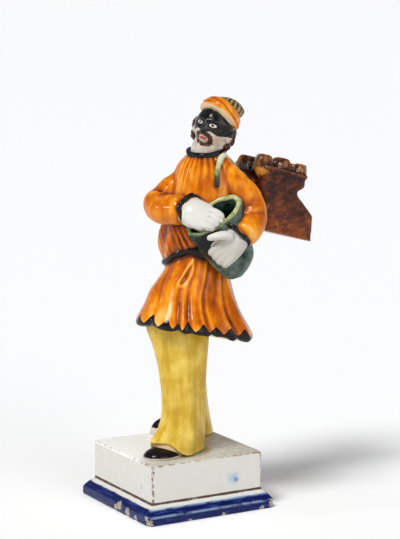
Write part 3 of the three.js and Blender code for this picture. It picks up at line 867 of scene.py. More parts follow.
def limb_ring(centre, girth, steps, sides):
    """A closed roll along a ring in space, with a girth by angle."""
    bm = roll(lambda angle: (10 * cos(angle), 10 * sin(angle), 0), 1, 1, steps, sides)
    for v in bm.verts:
        angle = atan2(v.co.y, v.co.x)
        out, up = hypot(v.co.x, v.co.y) - 10, v.co.z
        here = centre(angle)
        heading = (centre(angle + 0.03) - centre(angle - 0.03)).normalized()
        side = (here - Vector(SACK_ROWS[-2][1:4])).normalized()
        side = (side - heading * side.dot(heading)).normalized()
        v.co = here + (side * out + heading.cross(side) * -up) * girth(angle)
    bmesh.ops.recalc_face_normals(bm, faces=bm.faces)
    return bm


def strap(points, facing):
    return limb(points, [(0, 1.8, 1.2), (1, 1.7, 1.2)], 24, 90, facing)


def collar():
    x, y, z = 8.4, 15.4, 190

    def centre(angle):
        droop = 2.2 * sin(angle - radians(CHEST_TURN))
        out = 11.1 + 0.2 * sin(7 * angle)
        return x + out * cos(angle), y + (out - 0.2) * sin(angle), z + droop + 0.2 * sin(5 * angle)

    return roll(centre, 2.1, 1.7, 96, 12)


def hem_fields(mesh, near):
    """Fields of the skirt's black band with its pointed upper edge, and of its cream underside."""
    points, normals = points_of(mesh), normals_of(mesh)
    angles = np.arctan2(points[:, 1] - SKIRT_ROWS[0][2], points[:, 0] - SKIRT_ROWS[0][1])
    edge = SKIRT_ROWS[0][0] + np.array([hem_height(a) for a in angles])
    above = points[:, 2] - edge
    marks = [*HEM_POINTS, HEM_POINTS[0] + 360]
    place = np.interp((np.degrees(angles) - marks[0]) % 360 + marks[0], marks, range(len(marks)))
    point = 2 * np.abs(place - np.floor(place) - 0.5)
    peak = 2.7 + 0.4 * np.sin(3 * angles + 1) + (5 + 0.9 * np.sin(17 * angles)) * point ** 1.15
    band = np.where(near > -0.4, np.minimum(np.minimum(peak - above, above + 0.3), 3), -3)
    out = np.hypot(points[:, 0] - SKIRT_ROWS[0][1], points[:, 1] - SKIRT_ROWS[0][2])
    below = (normals[:, 2] < -0.35) & (out < 34) & (above < 9)
    return band, np.where(below, 1.5, -1.5)


def tunic_glaze():
    tint = colours()
    glaze = Glaze("tunic_glaze")
    colour = cloth_orange(glaze)
    colour = glaze.mix(glaze.inside("hem", 0.18, 0.25, 2), colour, tint.black)
    colour = glaze.mix(glaze.inside("lining", 0.5, 0.4), colour, (0.66, 0.55, 0.38))
    bag = glaze.blend(
        glaze.add(glaze.mottle(6, 4, seed=6), glaze.times(glaze.field("crease"), -1)),
        (0.25, (0.012, 0.016, 0.013)), (0.5, tint.green), (0.75, (0.15, 0.20, 0.16)))
    # Painted shade with dark pooled glaze: the sack turns near black low at its front.
    pooled = glaze.range(glaze.add(glaze.field("pooled"), glaze.mottle(5, 3, seed=4)), 0.7, 1.3)
    bag = glaze.mix(pooled, bag, (0.007, 0.008, 0.007))
    colour = glaze.mix(glaze.inside("sack", 0.3, 0.4), colour, bag)
    # Painted light and shade: the rim is lighter high up and darker low down.
    lip = glaze.blend(
        glaze.add(glaze.mottle(3, 3, seed=10), glaze.field("rim_light_and_shade")),
        (0.3, (0.03, 0.05, 0.03)), (0.55, (0.13, 0.18, 0.08)), (0.75, tint.leaf), (0.95, (0.56, 0.56, 0.3)))
    colour = glaze.mix(glaze.inside("rim", 0.3, 0.5, 3), colour, lip)
    # Painted shade: the inside of the sack's mouth is near black.
    shaded_inside = glaze.blend(
        glaze.mottle(6, 3, seed=12), (0.42, (0.004, 0.006, 0.008)), (0.62, (0.012, 0.05, 0.03)))
    colour = glaze.mix(glaze.inside("mouth", 0.35, 0.3), colour, shaded_inside)
    # Painted light and shade: the straps are pale and lit high on the shoulders and dark lower down.
    strap_light_and_shade = glaze.blend(
        glaze.add(glaze.mottle(4, 3, (1, 1, 0.5), seed=8), glaze.field("strap_light_and_shade")),
        (0.1, (0.02, 0.02, 0.012)), (0.3, (0.07, 0.085, 0.045)), (0.5, tint.leaf), (0.8, (0.62, 0.6, 0.42)))
    colour = glaze.mix(glaze.inside("strap", 0.3, 0.3), colour, strap_light_and_shade)
    # Painted shade: brown in the creases between and round the fingers.
    skin = glaze.mix(glaze.range(glaze.field("crease"), 0.03, 0.2), tint.white, (0.30, 0.19, 0.11))
    skin = glaze.mix(glaze.range(glaze.mottle(6, 4, seed=3), 0.55, 0.8, 0, 0.5), skin, tint.cream)
    # Painted shade: the lower hand, his left, is greyer.
    skin = glaze.mix(glaze.range(glaze.field("shaded_hand"), 0, 1, 0, 0.85), skin, (0.45, 0.42, 0.37))
    colour = glaze.mix(glaze.inside("hands", 0.25, 0.25), colour, skin)
    colour = glaze.mix(glaze.inside("pad", 0.5, 0.6), colour, tint.umber)
    colour = glaze.mix(glaze.inside("line", 0.35, 0.5, 2.4), colour, tint.black)
    return glaze.finish(colour)


class FIGURE_OT_tunic(bpy.types.Operator):
    """Makes the tunic, sash, arms, hands, sack, straps and the pad on the back"""
    bl_idname = "figure.tunic"
    bl_label = "Tunic, hands and sack"

    def execute(self, context):
        hollow = sack_hollow()
        cuffs = [
            cuff((23.1, -2.9, 154.5), (0.97, 0.15, 0.1), 9.6),
            cuff((39.3, 20.5, 139.8), (0.01, -0.71, -0.68), 8.9),
        ]
        groups = {
            "cloth": hollowed([blouse(), sleeve(LEFT_ARM, 0.5, 3)], hollow) + [sleeve(RIGHT_ARM, 0.44, 1)],
            "skirt": [skirt()],
            "line": [sash(), collar(), *cuffs],
            "hands": right_hand() + left_hand(),
            "sack": hollowed([sack()], hollow),
            "rim": [sack_rim()],
            "strap": [strap(LEFT_STRAP, (0.7, -0.3, 0.7)), strap(RIGHT_STRAP, (-0.6, -0.5, 0.7))],
            "pad": [limb([(4, 20, 166), (2.6, 42, 162), (2, 58, 160)], [(0, 13, 16), (1, 12, 14)], 48, 30)],
        }
        mesh = fused(groups, sizes().body_grain)
        near = margins(distances(mesh, groups))
        near["sack"] = np.maximum(near["sack"], near["rim"])
        for name in ("line", "hands", "sack", "rim", "strap", "pad"):
            store(mesh, name, near[name])
        hem, lining = hem_fields(mesh, near["skirt"])
        store(mesh, "hem", hem)
        store(mesh, "lining", lining)
        self.sack_fields(mesh, near, hollow)
        # Painted light and shade on the orange of the chest, blouse and skirt.
        self.shade(mesh)
        store(mesh, "crease", hollowness(mesh, 8))
        store(mesh, "hollow", hollowness(mesh, 60))
        finished("tunic_and_sack", mesh, tunic_glaze(), "figure")
        return {"FINISHED"}

    def shade(self, mesh):
        """Painted light and shade: above 0 the orange is paler, lit on chest and skirt front, and below 0
        deeper, in shade.
        """
        x, y, z = points_of(mesh).T
        angle = np.arctan2(y - 8, x - 6)
        # Painted light on the chest.
        chest = np.exp(-((z - 176) / 14) ** 2 - ((angle + 0.45) / 0.8) ** 2)
        # Painted shade low on the blouse's front.
        low = np.exp(-((z - 134) / 8) ** 2 - ((angle + 1.1) / 0.7) ** 2)
        # Painted shade on the skirt's right side.
        side = np.exp(-((z - 90) / 22) ** 2 - ((angle - 0.3) / 0.5) ** 2)
        # Painted highlight on the skirt's front.
        front = np.exp(-((z - 93) / 10) ** 2 - ((angle + 1.19) / 0.24) ** 2)
        store(mesh, "shade", 1.2 * chest + 2.2 * front - 1.5 * low - 1.1 * side)

    def sack_fields(self, mesh, near, hollow):
        """The inside of the sack in painted shade, dark pooled glaze with painted shade at its front, and
        painted light and shade on the straps, the rim and the lower hand.
        """
        inside = distances(mesh, {"hollow": [hollow]})["hollow"]
        covered = np.maximum(near["hands"], near["rim"])
        # Painted shade inside the sack's mouth.
        store(mesh, "mouth", np.minimum(0.9 - inside, -0.2 - covered))
        points = points_of(mesh)
        # Painted shade with pooled glaze, strongest low at the sack's front.
        store(mesh, "pooled", 1.1 - np.linalg.norm(points - np.array((40, -2, 134)), axis=1) / 22)
        # Painted light and shade along the straps, lighter higher up.
        store(mesh, "strap_light_and_shade", (points[:, 2] - 181) / 22)
        # Painted light and shade on the rim, lighter higher up.
        store(mesh, "rim_light_and_shade", np.clip((points[:, 2] - 143) / 44, -0.1, 0.35))
        # Painted shade on the lower hand.
        store(mesh, "shaded_hand", (144 - points[:, 2]) / 9)


# Head

HEAD_AT = (11.4, 20.2, 204.4)
HEAD_HALF = (12.4, 13.8, 14.8)
HEAD_TURN, HEAD_LEAN_BACK, HEAD_LEAN_LEFT = 31, 14, 14
CAP_LEAN_BACK, CAP_LEAN_LEFT, CAP_RISE = 44, 20, 4
CAP_ROWS = [
    (0.6, 1, -1, 11.2, 12.2, 0), (2, 1, -1, 12.8, 13.8, 0), (5, 1, -1, 13.4, 14.4, 0),
    (8.4, 1, -1, 12.4, 13.4, 0), (10, 1, -1, 10.8, 11.8, 0),
]
NECK_ROWS = [
    (184, 8.4, 15, 9.4, 9, CHEST_TURN), (192, 8.9, 16.3, 10.5, 10.4, CHEST_TURN),
    (201, 10.4, 18.8, 9.2, 9.4, CHEST_TURN),
]


def head_placing(lean_back=HEAD_LEAN_BACK, lean_left=HEAD_LEAN_LEFT):
    return (Matrix.Translation(HEAD_AT) @ Matrix.Rotation(radians(HEAD_TURN), 4, "Z")
            @ Matrix.Rotation(radians(lean_left), 4, "Y") @ Matrix.Rotation(radians(-lean_back), 4, "X"))


def cap_placing():
    """The cap's band is tipped far back towards the nape."""
    return Matrix.Translation((0, 0, CAP_RISE)) @ head_placing(CAP_LEAN_BACK, CAP_LEAN_LEFT)


def mask_edge(x):
    """Height of the mask's lower edge at a place across the face."""
    return -3.2 - 2.6 * hump(x, 2.8) - 1.6 * hump(abs(x) - 8.5, 3)


def face_relief(p):
    front = max(-p.y, 0)
    socket = hump(abs(p.x) - 0.38, 0.2) * hump(p.z - 0.02, 0.13)
    eyeball = hump(abs(p.x) - 0.38, 0.13) * hump(p.z - 0.01, 0.09)
    brow = hump(abs(p.x) - 0.34, 0.26) * hump(p.z - 0.2, 0.09)
    bridge = hump(p.x, 0.1) * hump(p.z + 0.02, 0.22)
    nose_tip = hump(p.x, 0.15) * hump(p.z + 0.28, 0.12)
    lips = hump(p.x, 0.24) * (hump(p.z + 0.54, 0.05) + hump(p.z + 0.65, 0.05))
    parting = hump(p.x, 0.26) * hump(p.z + 0.595, 0.022)
    chin = hump(p.x, 0.26) * hump(p.z + 0.88, 0.14)
    mask = step(p.z * HEAD_HALF[2] - mask_edge(p.x * HEAD_HALF[0]), -0.35, 0.35)
    carved = (0.07 * eyeball - 0.1 * socket + 0.06 * brow + 0.1 * bridge + 0.2 * nose_tip + 0.05 * lips
              - 0.03 * parting + 0.07 * chin + 0.035 * mask)
    return 1 + carved * front - 0.07 * max(-p.z - 0.3, 0) * (1 - front)


def curls(seed):
    """Swelling of a mass of short curls."""
    def swell(p):
        twist = sin(9 * p.z + 5 * atan2(p.y, p.x) + seed)
        return 1 + 0.07 * twist + 0.08 * wander(p.x, p.y, p.z, 0.42, seed)
    return swell


def hair():
    locks = [(-14.4, 3, -1), (-13.2, 3.4, -7), (10.6, 3.4, -1), (9.2, 4, -7.5)]
    forms = [lump((3, 4.2, 4.6), at, 4, curls(seed)) for seed, at in enumerate(locks)]
    return forms + [lump((11.8, 8.8, 12.2), (-0.2, 5.8, -4.6), 5, curls(7))]


def cap_band():
    def relief(angle, share):
        fold = 0.5 * hump(share - 0.2, 0.12) + 0.35 * sin(3 * angle + 16 * share) * hump(share - 0.5, 0.3)
        return fold + 0.35 * wander(5 * cos(angle), 5 * sin(angle), 6 * share, 3, 8)

    return upright(CAP_ROWS, 140, 36, relief, lambda angle, share: 0.5 * sin(3 * angle))


def crown():
    def swell(p):
        ribs = 0.03 * cos(22 * atan2(p.y, p.x)) * max(1 - p.z ** 2, 0)
        return 1 + ribs + 0.03 * wander(p.x, p.y, p.z, 0.5, 3)

    return lump((10.6, 10.8, 6.8), (1.7, 4.2, 13.8), 5, swell)


def ear(side):
    def swell(p):
        return 1 - 0.3 * hump(hypot(p.y, p.z), 0.5) * (p.x * side > 0)
    return lump((1.8, 2.6, 3.8), (side * 12.4, -1.4, -3.4), 4, swell)


def face_fields(mesh, near):
    """Painted mask, eyes, moustache with beard, and cheeks, drawn on the head's own upright axes."""
    local = head_placing().inverted()
    names = ("mask", "eye", "iris", "pupil", "beard", "lips", "cheek")
    fields = {name: np.full(len(mesh.vertices), OUTSIDE) for name in names}
    for i, v in enumerate(mesh.vertices):
        if near[i] < -0.6:
            continue
        x, y, z = local @ v.co
        side = abs(x)
        if y > 3:
            continue
        fields["mask"][i] = min(z - mask_edge(x), 0.5 * (1 - y))
        eye = hypot((side - 4.7) / 2.1, (z - 0.3 - 0.06 * (side - 4.7)) / 1.05) - 1
        fields["eye"][i] = -1.1 * eye
        fields["iris"][i] = min(0.95 - hypot(side - 4.6, z - 0.45), 1.1 - z)
        fields["pupil"][i] = 0.5 - hypot(side - 4.6, z - 0.45)
        ring = hypot(x / 4.7, (z + 8.9) / 3.5)
        stroke = 1.1 - 3.4 * abs(ring - 1) + 0.5 * hump(z + 6, 1.2)
        fields["beard"][i] = stroke + 0.18 * sin(3 * x + 2 * z)
        fields["lips"][i] = 1 - hypot(x / 2.9, (z + 8.7) / 1)
        fields["cheek"][i] = 2.6 - hypot(side - 7.2, z + 6.2)
    for name, values in fields.items():
        store(mesh, name, values)


def head_glaze():
    tint = colours()
    glaze = Glaze("head_glaze")
    # Warm grey patches over the skin, at random.
    warm_grey_patches = glaze.range(glaze.mottle(5, 4, seed=3), 0.34, 0.64, 0.1, 0.9)
    skin = glaze.mix(warm_grey_patches, tint.white, (0.42, 0.33, 0.25))
    # Painted shade: brown-grey in the skin's creases.
    skin = glaze.mix(glaze.range(glaze.field("crease"), 0.03, 0.25), skin, (0.3, 0.17, 0.1))
    skin = glaze.mix(glaze.range(glaze.field("cheek"), -0.6, 2, 0, 0.35), skin, (0.66, 0.3, 0.2))
    skin = glaze.mix(glaze.inside("lips", 0.2, 0.2, 1.5), skin, (0.42, 0.1, 0.05))
    strands = glaze.range(glaze.mottle(1.8, 3, seed=18), 0.5, 0.7)
    whiskers = glaze.mix(strands, (0.05, 0.015, 0.008), (0.22, 0.08, 0.045))
    skin = glaze.mix(glaze.inside("beard", 0.35, 0.8, 1.3), skin, whiskers)
    scuffs = glaze.range(glaze.mottle(3.5, 4, seed=5), 0.5, 0.72, 0, 0.6)
    mask = glaze.mix(scuffs, tint.black, (0.085, 0.07, 0.06))
    skin = glaze.mix(glaze.inside("mask", 0.25, 0.35, 2), skin, mask)
    skin = glaze.mix(glaze.inside("eye", 0.18, 0.1, 1.5), skin, tint.white)
    skin = glaze.mix(glaze.inside("iris", 0.15, 0.05, 1.5), skin, (0.12, 0.06, 0.035))
    skin = glaze.mix(glaze.inside("pupil", 0.12, 0.0, 1.5), skin, tint.black)
    curl = glaze.blend(
        glaze.add(glaze.mottle(2.5, 3, seed=2), glaze.times(glaze.field("crease"), -1.2)),
        (0.3, tint.black), (0.55, tint.hair), (0.8, (0.17, 0.07, 0.035)))
    colour = glaze.mix(glaze.inside("hair", 0.35, 0.6, 1.8), skin, curl)
    band = cloth_orange(glaze, 4)
    band = glaze.mix(glaze.range(glaze.mottle(5, 3, seed=12), 0.56, 0.7, 0, 0.6), band, (0.62, 0.40, 0.20))
    band = glaze.mix(glaze.range(glaze.field("nape"), -0.3, 0.9, 0, 0.8), band, (0.16, 0.05, 0.012))
    band = glaze.mix(glaze.times(glaze.inside("hem", 0.5, 0.6, 4), 0.85), band, (0.66, 0.54, 0.32))
    colour = glaze.mix(glaze.inside("band", 0.3, 0.3, 1.8), colour, band)
    ribs = glaze.maths("SINE", glaze.times(glaze.field("rib"), 22.0))
    top = glaze.mix(glaze.range(ribs, -0.5, 0.7), (0.045, 0.035, 0.022), (0.30, 0.22, 0.10))
    top = glaze.mix(glaze.range(glaze.mottle(3, 3, seed=14), 0.5, 0.7, 0, 0.55), top, (0.36, 0.19, 0.05))
    colour = glaze.mix(glaze.inside("crown", 0.3, 0.4, 1.8), colour, top)
    return glaze.finish(colour, relief=0.04)


class FIGURE_OT_head(bpy.types.Operator):
    """Makes the masked head with its hair, ears and cap"""
    bl_idname = "figure.head"
    bl_label = "Head and cap"

    def execute(self, context):
        placing = head_placing()
        skull = lump(HEAD_HALF, (0, 0, 0), 6, face_relief)
        groups = {
            "face": [turned(skull, placing), turned(ear(-1), placing), turned(ear(1), placing),
                     upright(NECK_ROWS, 72, 30)],
            "hair": [turned(lock, placing) for lock in hair()],
            "band": [turned(cap_band(), cap_placing())],
            "crown": [turned(crown(), placing)],
        }
        mesh = fused(groups, sizes().head_grain)
        near = margins(distances(mesh, groups))
        back = (points_of(mesh) - np.array(HEAD_AT)) @ np.array(placing.inverted().to_3x3()).T
        scalp = np.minimum(back[:, 1] - 3.5, back[:, 2] + 12)
        near["hair"] = np.maximum(near["hair"], np.minimum(scalp, near["face"]))
        for name in ("hair", "band", "crown"):
            store(mesh, name, near[name])
        face_fields(mesh, near["face"])
        local = np.array((cap_placing().inverted()).to_3x3())
        offsets = (points_of(mesh) - np.array(HEAD_AT) - np.array((0, 0, CAP_RISE))) @ local.T
        store(mesh, "rib", np.arctan2(offsets[:, 1] - 0.6, offsets[:, 0] - 0.4))
        store(mesh, "hem", np.minimum(1.1 - np.abs(offsets[:, 2] - 1), -0.4 * offsets[:, 1] - 1))
        store(mesh, "nape", offsets[:, 1] / 12)
        store(mesh, "crease", hollowness(mesh, 10))
        store(mesh, "hollow", hollowness(mesh, 70))
        finished("masked_head", mesh, head_glaze(), "figure")
        return {"FINISHED"}


# Pannier

PANNIER_AT = (2.6, 51, 180)
PANNIER_HEIGHT = 41
PANNIER_TURN, PANNIER_LEAN = 6, 15
# The pannier's sections: share of its height, place of the middle, half width and half depth.
PANNIER_ROWS = [
    (0, 27, 18.6, 22.4), (0.37, 25.75, 17.95, 21.15), (0.4, 25.6, 17.8, 21), (0.43, 24.6, 17.8, 20.3),
    (0.56, 19.6, 17.7, 17.4), (0.64, 16.2, 17.6, 15.8), (0.71, 15.4, 17.4, 15.6), (0.77, 17, 17.8, 16.9),
    (0.81, 17.6, 18, 17.4), (0.92, 17.6, 17.9, 17.3), (0.95, 17.6, 18.6, 18.1), (0.98, 17.6, 18.6, 18.1),
    (1, 17.3, 17.9, 17.4),
]
CORNER_POWER = 10
# Lumps of the load on the pannier's own axes: x, y, half width, half length and height above the rim.
LOAD = [
    (9.6, 2.6, 6.8, 6.4, 6.4), (9.6, 17.5, 6.6, 7.4, 6.8), (12.3, 30.8, 5, 4.8, 6), (11.4, 25, 2.6, 2.4, 5),
    (0, 5, 6.4, 6, 4), (0, 17, 6.2, 6.4, 4.2), (1, 29, 6, 5.4, 3.8), (-9.6, 4.4, 6.4, 5.8, 4.4),
    (-9.6, 17, 6.2, 6.6, 4), (-9.2, 28.6, 5.8, 5.6, 3.4),
]


def pannier_placing():
    return (Matrix.Translation(PANNIER_AT) @ Matrix.Rotation(radians(PANNIER_TURN), 4, "Z")
            @ Matrix.Rotation(radians(-PANNIER_LEAN), 4, "X"))


def pannier_walls():
    def place(angle, share, reach):
        middle, wide, deep = between(PANNIER_ROWS, share)
        c, s = cos(angle), sin(angle)
        square = (abs(c) ** CORNER_POWER + abs(s) ** CORNER_POWER) ** (-1 / CORNER_POWER)
        rough = 1 + 0.012 * wander(5 * c, 5 * s, 30 * share, 2.2, 6)
        aside = wide * reach * square * rough * c
        back = middle + deep * reach * square * rough * s
        return aside, back, (share - 1) * PANNIER_HEIGHT

    return turned(form(192, 90, place), pannier_placing())


def load():
    """A heap of lumps with flattened tops."""
    forms = []
    for x, y, wide, long, high in LOAD:
        def swell(p, turn=x + 2.3 * y):
            broad = 0.09 * cos(3 * atan2(p.y, p.x) + turn)
            return 1 + broad + 0.09 * wander(p.x, p.y, p.z, 0.6, turn)

        piece = lump((wide, long, 1.3 * high), (x, y, 0), 4, swell)
        for v in piece.verts:
            v.co.z = min(v.co.z, high + 0.25 * (v.co.z - high))
        forms.append(turned(piece, pannier_placing()))
    return forms


def pannier_glaze():
    tint = colours()
    glaze = Glaze("pannier_glaze")
    streaks = glaze.mottle(4, 4, (0.7, 0.7, 1.5), seed=4)
    tone = glaze.add(streaks, glaze.times(glaze.mottle(14, 3, seed=9), 0.35))
    tone = glaze.add(tone, glaze.times(glaze.field("depth"), 0.006))
    tone = glaze.add(tone, glaze.times(glaze.field("crease"), -0.5))
    brown = glaze.blend(
        tone, (0.55, tuple(0.3 * c for c in tint.umber)), (0.75, tint.umber), (0.93, tint.sienna),
        (1.0, (0.2, 0.045, 0.007)))
    speckles = glaze.range(glaze.mottle(3.4, 4, seed=23), 0.54, 0.72)
    amber = glaze.times(speckles, glaze.range(glaze.field("depth"), 16, 34, 0, 0.7))
    brown = glaze.mix(amber, brown, (0.34, 0.10, 0.012))
    # Thin glaze with a painted highlight: paler brown along the ridges and the lip.
    thin_glaze_and_highlight = glaze.range(glaze.field("crease"), -0.08, -0.4)
    brown = glaze.mix(glaze.times(thin_glaze_and_highlight, 0.6), brown, (0.36, 0.17, 0.08))
    heap = glaze.blend(
        glaze.add(glaze.mottle(5, 4, seed=3), glaze.times(glaze.field("crease"), -0.8)),
        (0.34, (0.014, 0.005, 0.003)), (0.52, (0.07, 0.018, 0.007)), (0.76, (0.32, 0.13, 0.045)))
    colour = glaze.mix(glaze.inside("load", 0.4, 0.5), brown, heap)
    lit = glaze.times(glaze.inside("lit", 1.8, 3.2, 3), 0.8)
    colour = glaze.mix(lit, colour, (0.8, 0.33, 0.05))
    return glaze.finish(colour)


class FIGURE_OT_pannier(bpy.types.Operator):
    """Makes the pannier on the figure's back and its load"""
    bl_idname = "figure.pannier"
    bl_label = "Pannier"

    def execute(self, context):
        groups = {"walls": [pannier_walls()], "load": load()}
        mesh = fused(groups, sizes().body_grain)
        near = margins(distances(mesh, groups))
        store(mesh, "load", near["load"])
        local = pannier_placing().inverted()
        offsets = np.array([local @ v.co for v in mesh.vertices])
        store(mesh, "depth", -offsets[:, 2])
        store(mesh, "lit", 3.6 - np.linalg.norm(offsets - np.array((13, -1, -4.4)), axis=1))
        store(mesh, "crease", hollowness(mesh, 10))
        finished("loaded_pannier", mesh, pannier_glaze(), "figure")
        return {"FINISHED"}


# Plinth

FOOT_PROUD, FOOT_EDGE, FOOT_SLOPE = 6, 5.2, 4.4
BAND_PROUD, BAND_HEIGHT = 2.4, 2.2
CORNER_ROUND = 1.6
# Chips knocked out of the foot and corners: x, y, z, radius and depth.
CHIPS = [
    (44.4, -45, 1.6, 2.8, 0.8), (42.5, -45.4, 4.4, 1.8, 0.5), (28, -45.4, 1.8, 2, 0.6),
    (17, -45.4, 2.6, 2.8, 0.8), (6, -45.2, 4.2, 2.9, 0.7), (1.5, -45.4, 2.4, 2, 0.5),
    (45.2, 44.6, 3, 3, 0.9), (45.4, 36, 0.6, 1.7, 0.5), (45.4, 8, 0.6, 1.3, 0.4),
    (45.4, -16, 0.4, 1.2, 0.4), (39.4, -39.4, 35.8, 1.6, 0.4), (-45.2, 12, 3, 2.2, 0.6),
    (-30, 45.2, 2.5, 2.4, 0.6),
]
# Outlines of the feet and hems on the plinth's top: x, y, half width and half depth.
FEET = [(14.5, -8, 15.4, 18.6), (-24, 21, 15.2, 17.4), (19.4, -22, 11, 13)]


def plinth_levels():
    box = sizes().box_side / MM / 2
    foot = box + FOOT_PROUD
    slope_top = FOOT_EDGE + FOOT_SLOPE
    band_top = slope_top + BAND_HEIGHT
    top = sizes().plinth_height / MM
    return [
        (0, foot - 0.5), (0.6, foot), (FOOT_EDGE, foot), (FOOT_EDGE + 0.6, foot - 0.4),
        (slope_top - 0.5, box + BAND_PROUD + 0.5), (slope_top, box + BAND_PROUD), (band_top - 0.5, box + 0.4),
        (band_top, box), (top - 0.5, box), (top - 0.15, box - 0.15), (top, box - 0.5),
    ]


def plinth_block():
    """Rounded squares stacked from the foot to the top."""
    levels = plinth_levels()
    around = 96

    def place(angle, share, reach):
        height, half = levels[round(share * (len(levels) - 1))]
        column = round(angle / WHOLE_TURN * around) % around
        corner, along = divmod(column, around // 4)
        turn = (corner + along / (around // 4 - 1)) * pi / 2
        cx, cy = ((1, 1), (-1, 1), (-1, -1), (1, -1))[corner]
        straight = half - CORNER_ROUND
        return (reach * (cx * straight + CORNER_ROUND * cos(turn)),
                reach * (cy * straight + CORNER_ROUND * sin(turn)), height)

    return form(around, len(levels) - 1, place)


def plinth_glaze():
    tint = colours()
    glaze = Glaze("plinth_glaze")
    warm = glaze.range(glaze.mottle(14, 4, seed=2), 0.42, 0.75, 0, 0.35)
    white = glaze.mix(warm, tint.white, (0.66, 0.62, 0.53))
    specks = glaze.range(glaze.mottle(1.1, 2, seed=21), 0.73, 0.79)
    white = glaze.mix(glaze.times(specks, 0.6), white, (0.25, 0.18, 0.12))
    # Soiling and painted shade: darker across the top towards +y and round the feet.
    dirt_and_shade = glaze.range(glaze.add(glaze.field("dirt_and_shade"), glaze.mottle(4, 4, seed=8)), 0.8, 1.5, 0, 0.8)
    white = glaze.mix(dirt_and_shade, white, (0.36, 0.30, 0.18))
    # Painted light: the top is almost white towards its -x, -y corner.
    white = glaze.mix(glaze.range(glaze.field("painted_light_on_top"), 0, 1, 0, 0.9), white, (0.95, 0.95, 0.94))
    smudge = glaze.range(glaze.add(glaze.field("smudge"), glaze.mottle(3, 3, seed=5)), 0.72, 1.4, 0, 0.7)
    white = glaze.mix(smudge, white, (0.24, 0.40, 0.58))
    white = glaze.mix(glaze.times(glaze.inside("spot", 0.8, 1.2, 2), 0.7), white, (0.07, 0.16, 0.42))
    white = glaze.mix(glaze.inside("tick", 0.2, 0.4, 1.5), white, (0.2, 0.11, 0.07))
    blue = glaze.blend(
        glaze.mottle(3.4, 4, (0.3, 0.3, 2.2), seed=6), (0.3, tuple(0.45 * c for c in tint.cobalt)),
        (0.54, tint.cobalt), (0.76, (0.028, 0.06, 0.23)), (0.9, tint.sky))
    colour = glaze.mix(glaze.inside("blue", 0.35, 0.5, 9), white, blue)
    # Thin blue with painted highlights along the moulding's two ridges, stronger on the +x face.
    patches = glaze.range(glaze.mottle(6, 3, seed=19), 0.3, 0.6)
    thin_blue_and_highlight = glaze.times(glaze.range(glaze.field("thin_blue_and_highlight"), -0.6, 0.8), patches)
    colour = glaze.mix(glaze.times(thin_blue_and_highlight, 0.75), colour, tint.sky)
    broken = glaze.range(glaze.mottle(2.6, 4, seed=15), 0.42, 0.58)
    worn = glaze.range(glaze.mottle(9, 3, seed=16), 0.25, 0.45, 0.6, 1)
    line = glaze.times(glaze.inside("line", 0.25, 0.3, 7), worn)
    colour = glaze.mix(line, colour, (0.07, 0.035, 0.022))
    rim = glaze.times(glaze.inside("rim", 0.35, 0.5, 3), glaze.times(broken, 0.75))
    colour = glaze.mix(rim, colour, (0.22, 0.12, 0.06))
    edge = glaze.times(glaze.inside("edge", 0.3, 1.6, 1.4), broken)
    colour = glaze.mix(edge, colour, (0.12, 0.055, 0.03))
    bare = glaze.mix(glaze.mottle(1.6, 3, seed=17), tint.clay, (0.3, 0.26, 0.22))
    colour = glaze.mix(glaze.inside("chip", 0.2, 0.5, 1.5), colour, bare)
    return glaze.finish(colour, roughness=(0.14, 0.32), relief=0.012)


